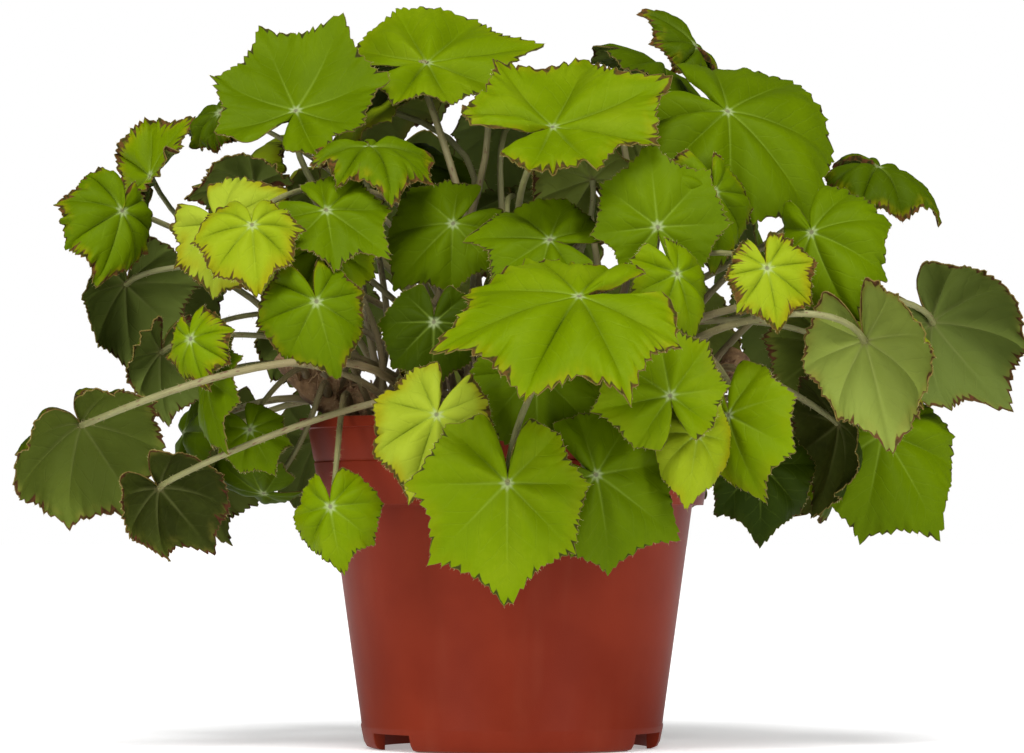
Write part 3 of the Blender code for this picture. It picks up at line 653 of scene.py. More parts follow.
def alone(piece: bpy.types.Object) -> bpy.types.Object:
    """Selects one object and nothing else.

    Args:
        piece: The object.

    Returns:
        The object.
    """
    bpy.ops.object.select_all(action="DESELECT")
    piece.select_set(True)
    bpy.context.view_layer.objects.active = piece
    return piece


def added(name: str, add: Callable, **settings: object) -> bpy.types.Object:
    """Adds a primitive, a lamp or a camera, with nothing else selected.

    Args:
        name: The object's name.
        add: The operator that adds it.
        settings: The operator's settings.

    Returns:
        The object.
    """
    bpy.ops.object.select_all(action="DESELECT")
    add(**settings)
    made = bpy.context.object
    made.name = name
    return made


def new_grid(name: str, columns: int, rows: int) -> tuple[bpy.types.Object, np.ndarray, np.ndarray]:
    """A flat grid that is ready to be shaped.

    Args:
        name: The object's name.
        columns: How many faces it has across.
        rows: How many faces it has along.

    Returns:
        The object, and the column and row of each of its points.
    """
    grid = added(name, bpy.ops.mesh.primitive_grid_add, x_subdivisions=columns, y_subdivisions=rows, size=1)
    grid.data.name = name
    flat = points_of(grid)
    column = np.rint((flat[:, 0] + 0.5) * columns).astype(int)
    row = np.rint((flat[:, 1] + 0.5) * rows).astype(int)
    return grid, column, row


def points_of(piece: bpy.types.Object) -> np.ndarray:
    """The places of an object's points.

    Args:
        piece: The object.

    Returns:
        A row of three numbers for each point.
    """
    flat = np.empty(len(piece.data.vertices) * 3, np.float32)
    piece.data.vertices.foreach_get("co", flat)
    return flat.reshape(-1, 3).astype(float)


def moved_to(piece: bpy.types.Object, places: np.ndarray) -> None:
    """Puts an object's points at new places."""
    piece.data.vertices.foreach_set("co", places.astype(np.float32).ravel())
    piece.data.update()


def mapped(piece: bpy.types.Object, across: np.ndarray, along: np.ndarray) -> None:
    """Writes the UV map from a pair of numbers for each point.

    Args:
        piece: A grid, with its first UV map.
        across: The first number.
        along: The second number.
    """
    corner = np.empty(len(piece.data.loops), np.int32)
    piece.data.loops.foreach_get("vertex_index", corner)
    pairs = np.stack([across[corner], along[corner]], axis=-1)
    piece.data.uv_layers[0].data.foreach_set("uv", pairs.astype(np.float32).ravel())


def carries(piece: bpy.types.Object, name: str, values: np.ndarray | float) -> None:
    """Gives an object's points a number that its finish reads.

    Args:
        piece: The object.
        name: The attribute's name.
        values: A number for each point, or one for all.
    """
    made = piece.data.attributes.new(name, "FLOAT", "POINT")
    full = np.broadcast_to(np.asarray(values, np.float32), len(piece.data.vertices))
    made.data.foreach_set("value", np.ascontiguousarray(full))


def reworked(piece: bpy.types.Object, step: Callable, **settings: object) -> None:
    """Does a step of edit mode to all of an object's points and faces.

    Args:
        piece: The object.
        step: The operator.
        settings: The operator's settings.
    """
    alone(piece)
    bpy.ops.object.mode_set(mode="EDIT")
    bpy.ops.mesh.select_all(action="SELECT")
    step(**settings)
    bpy.ops.object.mode_set(mode="OBJECT")


def welded(piece: bpy.types.Object) -> None:
    """Joins points that lie on each other, as at a seam or a pole."""
    reworked(piece, bpy.ops.mesh.remove_doubles, threshold=WELD_REACH)


def turned_out(piece: bpy.types.Object) -> None:
    """Turns the front of every face outwards."""
    reworked(piece, bpy.ops.mesh.normals_make_consistent, inside=False)


def modified(piece: bpy.types.Object, kind: str, **settings: object) -> None:
    """Puts a modifier on an object and applies it.

    Args:
        piece: The object.
        kind: The modifier's type.
        settings: Its settings.
    """
    alone(piece)
    made = piece.modifiers.new(kind, kind)
    for key, value in settings.items():
        setattr(made, key, value)
    bpy.ops.object.modifier_apply(modifier=made.name)


def smoothed(piece: bpy.types.Object, angle: float = math.radians(50)) -> None:
    """Shades an object smooth but for its sharp edges."""
    alone(piece)
    bpy.ops.object.shade_smooth_by_angle(angle=angle)


def finished(piece: bpy.types.Object, *finishes: str, thickness: float = 0) -> bpy.types.Object:
    """Closes a shaped grid's seams, gives a sheet its thickness, and shades it smooth.

    Args:
        piece: The grid.
        finishes: The names of its finish and, on a sheet, of its lower side's where that has its own.
        thickness: How thick a sheet becomes, or 0 for a closed shape.

    Returns:
        The piece.
    """
    for finish in finishes:
        piece.data.materials.append(FINISHES[finish])
    welded(piece)
    if thickness:
        modified(piece, "SOLIDIFY", thickness=thickness, offset=0, material_offset=len(finishes) - 1)
    smoothed(piece)
    return piece


def joined(name: str, parts: list[bpy.types.Object]) -> bpy.types.Object:
    """One object from several.

    Args:
        name: Its name.
        parts: The objects, of which the first is kept.

    Returns:
        The object.
    """
    alone(parts[0])
    for part in parts[1:]:
        part.select_set(True)
    if len(parts) > 1:
        bpy.ops.object.join()
    parts[0].name = parts[0].data.name = name
    return parts[0]


def placed(piece: bpy.types.Object, nodes: list[str]) -> bpy.types.Object:
    """Moves a finished piece to the pot's axis, puts it under the root and hides its CAD nodes.

    Args:
        piece: The piece, in place.
        nodes: The CAD nodes that it stands for.

    Returns:
        The piece.
    """
    moved_to(piece, points_of(piece) + AXIS)
    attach(piece, "root")
    if nodes:
        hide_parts(*nodes)
    LOG.info("%s: %d faces for %s", piece.name, len(piece.data.polygons), ", ".join(nodes) or "no node")
    return piece


def smooth(share: np.ndarray) -> np.ndarray:
    """A soft step from 0 to 1."""
    share = np.clip(share, 0, 1)
    return share * share * (3 - 2 * share)


def bend(along: np.ndarray, lift: np.ndarray, rate: float) -> tuple[np.ndarray, np.ndarray]:
    """Where points along a line, and lifted off it, go as the line bends down.

    Args:
        along: The points' places along the line.
        lift: Their heights over it.
        rate: How far the line turns, in radians a unit.

    Returns:
        The places along and the heights after the bend.
    """
    if abs(rate) < 1e-6:
        return along, lift
    turn = rate * along
    return np.sin(turn) * (1 / rate + lift), (np.cos(turn) - 1) / rate + lift * np.cos(turn)


def beyond(share: np.ndarray, start: float) -> np.ndarray:
    """A soft step from 0 where share is start to 1 where it is 1."""
    return smooth((share - start) / (1 - start))


def round_about(turn: np.ndarray, across: np.ndarray, beside: np.ndarray) -> np.ndarray:
    """The directions at turns from across towards beside."""
    return np.cos(turn)[:, None] * across + np.sin(turn)[:, None] * beside


def facing(yaw: float, pitch: float) -> Vector:
    """The unit vector a turn of yaw from -Y towards +X, lifted pitch above the level."""
    return Vector((math.sin(yaw) * math.cos(pitch), -math.cos(yaw) * math.cos(pitch), math.sin(pitch)))


def unit(vector: np.ndarray) -> np.ndarray:
    """The vector, or each row of vectors, at length 1."""
    return vector / (np.linalg.norm(vector, axis=-1, keepdims=True) + NEXT_TO_NOTHING)


def nearest(points: np.ndarray, others: np.ndarray) -> np.ndarray:
    """How far each point is from the nearest of the others."""
    return np.sqrt(((points[:, None] - others[None]) ** 2).sum(axis=2).min(axis=1))


def hair_tuft(name: str, roots: np.ndarray, ways: np.ndarray, lengths: np.ndarray) -> bpy.types.Object:
    """Many thin three-sided hairs as one mesh.

    Args:
        name: The object's name.
        roots: Where each hair starts.
        ways: The unit vector along each hair.
        lengths: How long each hair is.

    Returns:
        The object.
    """
    side = unit(np.cross(ways, ASKEW))
    other = np.cross(ways, side)
    count = len(roots)
    points = np.empty((count, 4, 3))
    for k in range(3):
        turn = FULL_TURN * k / 3
        points[:, k] = roots + HAIR_RADIUS * (math.cos(turn) * side + math.sin(turn) * other)
    points[:, 3] = roots + ways * lengths[:, None]
    corners = np.array([(0, 1, 3), (1, 2, 3), (2, 0, 3), (2, 1, 0)])
    faces = (4 * np.arange(count)[:, None, None] + corners[None]).reshape(-1, 3)
    mesh = bpy.data.meshes.new(name)
    mesh.from_pydata(points.reshape(-1, 3).tolist(), [], faces.tolist())
    mesh.uv_layers.new(name="UVMap")
    tuft = bpy.data.objects.new(name, mesh)
    bpy.context.scene.collection.objects.link(tuft)
    return tuft


@dataclass(frozen=True)
class Stem:
    """A creeping stem: half-span, place in Y at the middle, how far its ends bow back and rise, radius."""

    name: str
    half_span: float
    y_mid: float
    bow: float
    rise: float
    radius: float
    bed_z: float = 0.132
    taper: float = 0.22
    step: float = 0.01
    pitch: float = 0.0095
    site_turns: tuple = (-0.95, 0.0, 0.95)
    seat_gap: float = 0.0004

    def middle(self, share: float) -> np.ndarray:
        """A point of the middle line; share runs from -1 at the left end to 1 at the right end."""
        rise = self.bed_z + self.rise * share**4
        return np.array([self.half_span * share, self.y_mid + self.bow * share**2, rise])

    def thick(self, share: float) -> float:
        """The radius, largest in the middle."""
        return self.radius * (1 - self.taper * share**2)

    def across(self, share: float) -> tuple[np.ndarray, np.ndarray, np.ndarray]:
        """The stem's directions at a place on it.

        Args:
            share: The place, from -1 at the left end to 1 at the right end.

        Returns:
            The directions along the stem, beside it and up from it.
        """
        along = unit(self.middle(share + self.step) - self.middle(share - self.step))
        side = unit(np.cross(along, UP))
        return along, side, np.cross(side, along)

    def sites(self) -> list[tuple[np.ndarray, np.ndarray]]:
        """Where leaf stalks may root.

        Returns:
            Pairs of a place and the way out of the stem there.
        """
        count = 2 * round(self.half_span / self.pitch) + 1
        found = []
        for i in range(1, count - 1):
            share = 2 * i / (count - 1) - 1
            _, side, up = self.across(share)
            for turn in self.site_turns:
                out = up * math.cos(turn) + side * math.sin(turn)
                found.append((self.middle(share) + out * (self.thick(share) + self.seat_gap), out))
        return found


STEMS = (
    Stem("rhizome_front", 0.096, -0.036, 0.026, 0.034, 0.0070),
    Stem("rhizome_back", 0.042, 0.012, 0.010, 0.006, 0.0065),
)


@dataclass
class Habit:
    """The sizes that all blades share, as the part has them. Lengths along a blade are blade lengths."""

    thickness: float = 0.0008
    lobe_pitch: float = FULL_TURN / LOBES
    lobe_depth: float = 0.17
    lobe_sharpness: float = 0.8
    tip_gain: float = 0.16
    drip: float = 0.16
    drip_span: float = 0.16
    shoulder_from: float = 1.9
    shoulder_span: float = 0.9
    notch_span: float = 0.36
    notch_floor: float = 0.10
    tooth: float = 0.05
    toothed_to: float = 2.4
    skew_range: tuple = (0.05, 0.13)
    ripple_range: tuple = (0.03, 0.06)
    ripple_swing: float = 0.6
    stalk_radius: float = 0.0019
    meet_facing: float = 0.72
    meet_tip: float = 0.69
    root_swell: float = 1.15
    stalk_taper: float = 0.35
    stalk_segments: int = 4
    last_ring: float = 0.35


HABIT = Habit()


class Blade:
    """A leaf's frame, outline and surface. Local units are blade lengths: x to the tip, y to the left."""

    def __init__(
        self, length: float, curves: tuple[float, float, float], eye: np.ndarray, normal: Vector, tip: Vector,
        rng: random.Random,
    ) -> None:
        """Sets a blade up as the part does.

        Args:
            length: From the eye to the tip, in metres.
            curves: How it curves all round, across the midrib and along it, in radians per blade length.
            eye: Where the stalk meets it.
            normal: The way its upper side faces.
            tip: The way its tip points.
            rng: The draws, in the part's order.
        """
        self.length = length
        self.eye = np.array(eye)
        self.normal = np.array(normal.normalized())
        tip = np.array(tip) - np.dot(tip, self.normal) * self.normal
        self.tip = tip / np.linalg.norm(tip)
        self.left = np.cross(self.normal, self.tip)
        self.cup, self.fold, self.droop = curves
        self.skew = rng.choice((-1, 1)) * rng.uniform(*HABIT.skew_range)
        self.ripple = rng.uniform(*HABIT.ripple_range)
        self.phase = rng.uniform(-HABIT.ripple_swing, HABIT.ripple_swing)

    def outline(self, angle: np.ndarray) -> np.ndarray:
        """The blade's outline without its teeth.

        Args:
            angle: Angles from the midrib.

        Returns:
            How far from the eye the margin is there, in blade lengths.
        """
        turn = np.abs(angle)
        valley = 2 * np.abs((turn / HABIT.lobe_pitch + 0.5) % 1 - 0.5)
        shoulder = smooth((turn - HABIT.shoulder_from) / HABIT.shoulder_span)
        lobes = 1 - HABIT.lobe_depth * (1 - shoulder) * valley**HABIT.lobe_sharpness
        reach = (1 - HABIT.tip_gain + HABIT.tip_gain * np.cos(angle)) * lobes
        floor = HABIT.notch_floor
        notch = floor + (1 - floor) * smooth((math.pi - turn) / HABIT.notch_span)
        drip = 1 + HABIT.drip * np.exp(-((angle / HABIT.drip_span) ** 2))
        return reach * notch * drip * (1 + self.skew * np.sin(angle))

    def surface(self, x: np.ndarray, y: np.ndarray) -> np.ndarray:
        """Points of the blade's middle surface.

        Args:
            x: How far along the midrib they are, in blade lengths.
            y: How far to its left they are.

        Returns:
            Their places.
        """
        radius = np.hypot(x, y) + NEXT_TO_NOTHING
        angle = np.arctan2(y, x)
        lift = self.ripple * radius**2 * np.cos(math.pi * angle / HABIT.lobe_pitch + self.phase)
        out, lift = bend(radius, lift, self.cup)
        across, lift = bend(out * y / radius, lift, self.fold)
        along, lift = bend(out * x / radius, lift, self.droop)
        local = self.length * np.stack([along, across, lift], axis=-1)
        return self.eye + local @ np.stack([self.tip, self.left, self.normal])

    def upward(self, x: np.ndarray, y: np.ndarray) -> np.ndarray:
        """The ways out of the upper side.

        Args:
            x: How far along the midrib a point is, in blade lengths.
            y: How far to its left it is.

        Returns:
            A unit vector for each point.
        """
        step = 0.01
        a = self.surface(x + step, y) - self.surface(x - step, y)
        b = self.surface(x, y + step) - self.surface(x, y - step)
        return unit(np.cross(a, b))

    def cad_margin(self, sides: int) -> np.ndarray:
        """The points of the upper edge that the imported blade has.

        Args:
            sides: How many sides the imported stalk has.

        Returns:
            Their places, from the tip round by way of the left.
        """
        count = 4 * sides
        angle = FULL_TURN * np.arange(count) / count
        angle = np.where(angle > math.pi, angle - FULL_TURN, angle)
        teeth = np.where(np.arange(count) % 2, -1, 1) * (np.abs(angle) < HABIT.toothed_to)
        reach = self.outline(angle) * (1 + HABIT.tooth * teeth)
        x, y = reach * np.cos(angle), reach * np.sin(angle)
        return self.surface(x, y) + HABIT.thickness / 2 * self.upward(x, y)

    def seat(self, packed: np.ndarray, sides: int) -> None:
        """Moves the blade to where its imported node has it.

        Args:
            packed: The node's points.
            sides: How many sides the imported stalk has.
        """
        margin = self.cad_margin(sides)
        found = [int((nearest(margin + place - margin[0], packed) < SAME_POINT).sum()) for place in packed]
        best = int(np.argmax(found))
        if found[best] < len(margin) // 2:
            LOG.warning("a blade at %s matches %d of %d points", self.eye.round(3), found[best], len(margin))
        self.eye = self.eye + packed[best] - margin[0]


class Stalk:
    """A leaf stalk's middle line, a cubic curve from its root to its blade's eye."""

    swings: tuple = (0, 0.02, -0.02, 0.04, -0.04, 0.06, -0.06)
    rises: tuple = (0, 0.025, 0.05, -0.012)
    reaches: tuple = ((0.45, 0.30), (0.25, 0.30), (0.65, 0.30), (0.45, 0.50), (0.30, 0.15), (0.70, 0.60))

    def __init__(
        self, blade: Blade, root: np.ndarray, way: np.ndarray, reaches: tuple, sway: np.ndarray
    ) -> None:
        """Sets the curve's four points.

        Args:
            blade: The blade that it carries.
            root: Where it starts.
            way: The way it leaves its root.
            reaches: How far its two inner points lie along it, as shares of the distance.
            sway: How far it swings aside.
        """
        self.blade, self.root, self.way = blade, root, way
        arrive = HABIT.meet_facing * blade.normal + HABIT.meet_tip * blade.tip
        self.end = blade.eye - blade.normal * HABIT.thickness / 2
        gap = np.linalg.norm(self.end - root)
        self.first = root + way * reaches[0] * gap + sway
        self.last = self.end - arrive * reaches[1] * gap + sway / 2

    def line(self, share: np.ndarray) -> np.ndarray:
        """Points along the curve.

        Args:
            share: The shares of it at which they are.

        Returns:
            Their places.
        """
        share = share[:, None]
        rest = 1 - share
        ends = rest**3 * self.root + share**3 * self.end
        return ends + 3 * rest**2 * share * self.first + 3 * rest * share**2 * self.last

    def pull(self, share: np.ndarray) -> np.ndarray:
        """The ways along the curve.

        Args:
            share: The shares of it at which they are wanted.

        Returns:
            A unit vector for each.
        """
        share = share[:, None]
        rest = 1 - share
        steps = rest**2 * (self.first - self.root) + share**2 * (self.end - self.last)
        return unit(steps + 2 * rest * share * (self.last - self.first))

    @classmethod
    def fitted(cls, blade: Blade, roots: list, packed: np.ndarray) -> "Stalk":
        """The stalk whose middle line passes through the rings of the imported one.

        Args:
            blade: The blade that it carries, in its seat.
            roots: The places and ways out of the roots it may have.
            packed: The points of its CAD node.

        Returns:
            The stalk.
        """
        level = np.array([blade.eye[0], blade.eye[1], 0])
        level = level / (np.linalg.norm(level) + NEXT_TO_NOTHING)
        side = np.array([-level[1], level[0], 0])
        share = np.arange(1, HABIT.stalk_segments) / (HABIT.stalk_segments - HABIT.last_ring)
        thick = HABIT.stalk_radius * (HABIT.root_swell - HABIT.stalk_taper * share)
        best, chosen = None, None
        for root, way in roots:
            for swing, rise, reaches in product(cls.swings, cls.rises, cls.reaches):
                stalk = cls(blade, root, way, reaches, side * swing + UP * rise)
                away = np.abs(nearest(stalk.line(share), packed) - thick).max()
                if best is None or away < best:
                    best, chosen = away, stalk
        if best > STALK_FIT:
            LOG.warning("a stalk to %s is %.1f mm off", blade.eye.round(3), best / MM)
        return chosen


@dataclass(frozen=True)
class Leaf:
    """A row of the leaf table, in millimetres and degrees.

    The eye's place as seen in the plane of the pot's axis, its depth between; the length from the eye to the
    tip; the way the tip points, seen from the front; the way the upper side faces, as a turn from -Y towards
    +X and a lift; how it curves all round, across and along, in radians per blade length; its age and painted
    shade, and its edge.
    """

    x: float
    y: float
    z: float
    length: float
    heading: float
    yaw: float
    pitch: float
    cup: float
    fold: float
    droop: float
    age: AgeAndShade = AgeAndShade.FULL
    edge: Edge = Edge.FLECKED

    def blade(self, rng: random.Random) -> Blade:
        """The blade where the table puts it.

        Args:
            rng: The draws, in the part's order.

        Returns:
            The blade.
        """
        normal = facing(math.radians(self.yaw), math.radians(self.pitch))
        heading = math.radians(self.heading)
        flat = Vector((math.cos(heading), 0, math.sin(heading)))
        depth = -normal.dot(flat) * normal.y / (normal.y**2 + EDGE_ON)
        scale = 1 + self.y * MM / VIEW_DISTANCE
        height = VIEW_HEIGHT + (self.z * MM - VIEW_HEIGHT) * scale
        eye = np.array([self.x * MM * scale, self.y * MM, height])
        curves = (self.cup, self.fold, self.droop)
        return Blade(self.length * MM, curves, eye, normal, flat + Vector((0, depth, 0)), rng)


# Leaves given SHADED or DARK are darkened for the shade they sit in: painted shade
LEAVES = {
    "top": (
        Leaf(-36, -12, 290, 44, 12, 0, 52, -0.2, 0.2, 0.3, AgeAndShade.BRIGHT, Edge.FLECKED),
        Leaf(-90, -36, 265, 42, 60, -8, 38, -0.5, 0.2, 0.1, AgeAndShade.FULL, Edge.FLECKED),
        Leaf(17, -74, 258, 48, 19, 0, 52, -0.4, 0.2, 0.2, AgeAndShade.BRIGHT, Edge.BROWN),
        Leaf(91, -52, 267, 60, -38, 12, 40, 0.5, 0.2, 0.4, AgeAndShade.FULL, Edge.FLECKED),
        Leaf(78, 24, 297, 26, 130, 62, 30, 0.4, 1.0, 0.3, AgeAndShade.OLD, Edge.SCORCHED),
        Leaf(-126, -5, 270, 24, 176, -30, 35, 0.5, 0.9, 0.6, AgeAndShade.OLD, Edge.SCORCHED),
        Leaf(-45, 16, 262, 30, -4, 10, 48, 0.4, 0.4, 0.3, AgeAndShade.SHADED, Edge.FLECKED),
        Leaf(-62, -66, 259, 32, -35, 0, 78, 0.3, 0.3, 1.0, AgeAndShade.FULL, Edge.SCORCHED),
        Leaf(-25, -60, 222, 33, -140, -6, 24, 0.4, 0.3, 0.3, AgeAndShade.FULL, Edge.FLECKED),
        Leaf(35, -44, 248, 36, 110, 172, 44, 0.5, 0.4, 0.3, AgeAndShade.YOUNG, Edge.BROWN),
        Leaf(16, -86, 215, 32, 170, 0, 42, 0.2, 0.2, 0.2, AgeAndShade.FULL, Edge.FLECKED),
    ),
    "left": (
        Leaf(-151, 14, 241, 28, 66, -62, 14, 0.3, -1.2, 0.2, AgeAndShade.BRIGHT, Edge.SCORCHED),
        Leaf(-165, -44, 227, 30, -97, 38, 16, 0.4, 0.8, 0.3, AgeAndShade.FULL, Edge.SCORCHED),
        Leaf(-163, -8, 196, 34, -95, -144, 22, 0.4, 0.5, 0.2, AgeAndShade.OLD, Edge.FLECKED),
        Leaf(-124, -80, 222, 34, -50, -12, 24, 0.3, 0.3, 0.3, AgeAndShade.NEW, Edge.BROWN),
        Leaf(-110, -106, 221, 27, -84, 0, 34, 0.4, 0.3, 0.4, AgeAndShade.YOUNG, Edge.BROWN),
        Leaf(-112, -10, 243, 27, 175, 170, 46, 0.4, 0.3, 0.3, AgeAndShade.OLD, Edge.SCORCHED),
        Leaf(-79, -94, 228, 28, -30, 4, 40, -0.2, 0.2, 0.6, AgeAndShade.FULL, Edge.FLECKED),
        Leaf(-80, -84, 213, 27, -66, 4, 20, 0.5, 0.3, 0.3, AgeAndShade.BRIGHT, Edge.FLECKED),
        Leaf(-83, -108, 189, 29, -73, 4, 10, 0.3, 0.6, 0.3, AgeAndShade.FULL, Edge.BROWN),
        Leaf(-136, -98, 173, 20, -80, -34, 10, 0.4, 0.5, 0.2, AgeAndShade.BRIGHT, Edge.SCORCHED),
        Leaf(-178, -60, 142, 45, -58, -150, 40, 0.6, 0.3, 0.5, AgeAndShade.SHADED, Edge.BROWN),
        Leaf(-152, -26, 162, 28, -100, -140, 20, 0.5, 0.4, 0.3, AgeAndShade.OLD, Edge.BROWN),
        Leaf(-149, -46, 110, 34, -52, -150, 30, 0.4, 0.9, 0.2, AgeAndShade.DARK, Edge.BROWN),
        Leaf(-128, -70, 156, 30, -90, -68, 12, 0.3, 0.3, 0.3, AgeAndShade.FULL, Edge.CLEAN),
        Leaf(-112, -84, 135, 19, -60, -10, 22, 0.3, 0.4, 0.2, AgeAndShade.FULL, Edge.CLEAN),
        Leaf(-106, -50, 108, 25, 182, -20, -64, 0.4, 0.3, 0.3, AgeAndShade.OLD, Edge.CLEAN),
    ),
    "front": (
        Leaf(28, -134, 190, 55, -168, 4, 54, 0.2, 0.3, 0.2, AgeAndShade.BRIGHT, Edge.BROWN),
        Leaf(-2, -136, 112, 42, -90, 0, 6, 0.1, 0.2, 0.2, AgeAndShade.BRIGHT, Edge.FLECKED),
        Leaf(38, -116, 116, 40, -33, 12, 10, 0.3, 0.3, 0.3, AgeAndShade.FULL, Edge.CLEAN),
        Leaf(67, -130, 149, 31, 100, 0, 8, 0.1, 0.2, 0.1, AgeAndShade.BRIGHT, Edge.FLECKED),
        Leaf(-32, -122, 141, 32, -110, -8, 14, 0.3, 0.3, 0.2, AgeAndShade.NEW, Edge.BROWN),
        Leaf(-77, -104, 102, 25, -83, -14, 10, 0.5, 0.6, 0.2, AgeAndShade.BRIGHT, Edge.FLECKED),
        Leaf(10, -112, 160, 37, -88, 0, 12, 0.4, 0.3, 0.3, AgeAndShade.FULL, Edge.FLECKED),
        Leaf(-33, -88, 180, 26, -92, 0, 10, 0.4, 0.3, 0.2, AgeAndShade.SHADED, Edge.CLEAN),
        Leaf(-46, -66, 151, 20, 92, 82, 8, 0.2, -0.3, 0.1, AgeAndShade.YOUNG, Edge.SCORCHED),
        Leaf(62, -100, 221, 32, 95, 0, 12, 0.1, 0.2, 0.1, AgeAndShade.FULL, Edge.CLEAN),
        Leaf(70, -122, 201, 25, -65, 34, 14, 0.4, 0.5, 0.2, AgeAndShade.BRIGHT, Edge.FLECKED),
        Leaf(78, -124, 132, 27, -97, 5, 8, 0.4, 1.3, 0.2, AgeAndShade.YOUNG, Edge.CLEAN),
    ),
    "right": (
        Leaf(108, -114, 203, 23, -77, 10, 14, 0.2, 0.2, 0.2, AgeAndShade.YOUNG, Edge.SCORCHED),
        Leaf(86, -88, 236, 30, -80, 30, 14, 0.4, 0.5, 0.3, AgeAndShade.FULL, Edge.BROWN),
        Leaf(127, -84, 218, 39, -76, -34, 22, 0.5, 0.9, 0.4, AgeAndShade.FULL, Edge.FLECKED),
        Leaf(155, -6, 246, 34, -16, 40, 72, 0.5, 1.0, 0.4, AgeAndShade.OLD, Edge.SCORCHED),
        Leaf(178, -14, 180, 46, -50, -158, 18, 0.5, 0.9, 0.3, AgeAndShade.OLD, Edge.BROWN),
        Leaf(149, -86, 172, 42, -72, 172, 18, 0.5, 1.0, 0.2, AgeAndShade.YOUNG, Edge.BROWN),
        Leaf(135, -34, 171, 33, -88, 130, 16, 0.5, 0.4, 0.2, AgeAndShade.SHADED, Edge.BROWN),
        Leaf(158, -40, 133, 45, -54, 8, 24, 0.4, 0.5, 0.3, AgeAndShade.FULL, Edge.FLECKED),
        Leaf(90, -104, 141, 34, -81, -50, 10, 0.4, 0.7, 0.2, AgeAndShade.BRIGHT, Edge.CLEAN),
        Leaf(113, -16, 135, 36, -90, 120, 12, 0.4, 0.5, 0.2, AgeAndShade.DARK, Edge.FLECKED),
        Leaf(104, -52, 122, 31, -85, 10, 10, 0.5, 0.3, 0.2, AgeAndShade.DARK, Edge.FLECKED),
    ),
}


@dataclass(frozen=True)
class Tier:
    """A ring of leaves behind: its height and reach, its leaves' lift and length, in mm and degrees."""

    z: float
    reach: float
    lift: float
    length: float


@dataclass(frozen=True)
class Shoots:
    """The shoots behind, each a stub with leaves spread round a part of the crown, as the part has them."""

    tiers: tuple = (
        Tier(136, 150, 14, 46),
        Tier(192, 150, 26, 48),
        Tier(240, 112, 42, 48),
        Tier(278, 62, 62, 44),
    )
    count: int = 6
    first_turn: float = math.radians(80)
    last_turn: float = math.radians(280)
    circle: float = 0.060
    foot_z: float = 0.125
    stub_height: float = 0.012
    stub_radius: float = 0.0050
    stub_sink: float = 0.010
    knobs: tuple = (0.06, 9, 3)
    stalk_rise: float = 1.2
    curves: tuple = (0.5, 0.4, 0.4)
    jitter: float = 0.20
    stagger: float = 0.4
    lift_jitter: float = 8
    reach_range: tuple = (0.92, 1.05)
    rise_range: tuple = (0.96, 1.04)
    length_range: tuple = (0.85, 1.1)
    side_swing: float = 0.6

    def turn(self, i: int) -> float:
        """How far round from the front, by way of +X, shoot i stands."""
        return self.first_turn + (self.last_turn - self.first_turn) * (i + 0.5) / self.count

    def foot(self, name: str) -> Vector:
        """The place on the floor over which a shoot's node stands."""
        return facing(self.turn(int(name[-1]) - 1), 0) * self.circle

    def blades(self, rng: random.Random) -> list[tuple[str, Blade]]:
        """The shoots' blades where the part first puts them.

        Args:
            rng: The draws, in the part's order.

        Returns:
            Pairs of a CAD node's name and a blade.
        """
        made = []
        for i in range(self.count):
            for k, tier in enumerate(self.tiers):
                yaw = self.turn(i) + (0.5 - k % 2) * self.stagger + rng.uniform(-self.jitter, self.jitter)
                lift = math.radians(tier.lift + rng.uniform(-self.lift_jitter, self.lift_jitter))
                reach = tier.reach * MM * rng.uniform(*self.reach_range)
                eye = facing(yaw, 0) * reach + Vector((0, 0, tier.z * MM * rng.uniform(*self.rise_range)))
                normal = facing(yaw, lift)
                down = normal * math.sin(lift) - Vector((0, 0, 1))
                side = normal.cross(down) * rng.uniform(-self.side_swing, self.side_swing)
                length = tier.length * rng.uniform(*self.length_range)
                blade = Blade(length * MM, self.curves, eye, normal, down + side, rng)
                made.append((f"shoot_{i + 1}", blade))
        return made

    def root(self, name: str, blade: Blade) -> tuple[np.ndarray, np.ndarray]:
        """Where a shoot's stalks start, and the way that a blade's own leaves it.

        Args:
            name: The shoot's node.
            blade: The blade.

        Returns:
            The place and the way.
        """
        foot = self.foot(name)
        top = np.array([foot.x, foot.y, self.foot_z + self.stub_height - self.stub_radius])
        level = unit(np.array([blade.eye[0] - top[0], blade.eye[1] - top[1], 0]))
        return top, unit(level + self.stalk_rise * UP)


@dataclass(frozen=True)
class Detail:
    """How finely a leaf is made: a tooth's steps, the blade's rings, the stalk's grid, and its hairs."""

    tooth_steps: tuple
    shares: tuple
    stalk_sides: int
    stalk_rings: int
    stalk_hairs: int
    rim_hairs: int


SHARES = (0, 0.05, 0.12, 0.21, 0.32, 0.44, 0.56, 0.67, 0.77, 0.855, 0.92, 0.965, 1)
NEAR = Detail((0.0, 0.3, 0.62, 0.86), SHARES, 12, 22, 110, 130)
FAR = Detail((0.0, 0.5, 0.8), SHARES[::2], 8, 12, 40, 50)


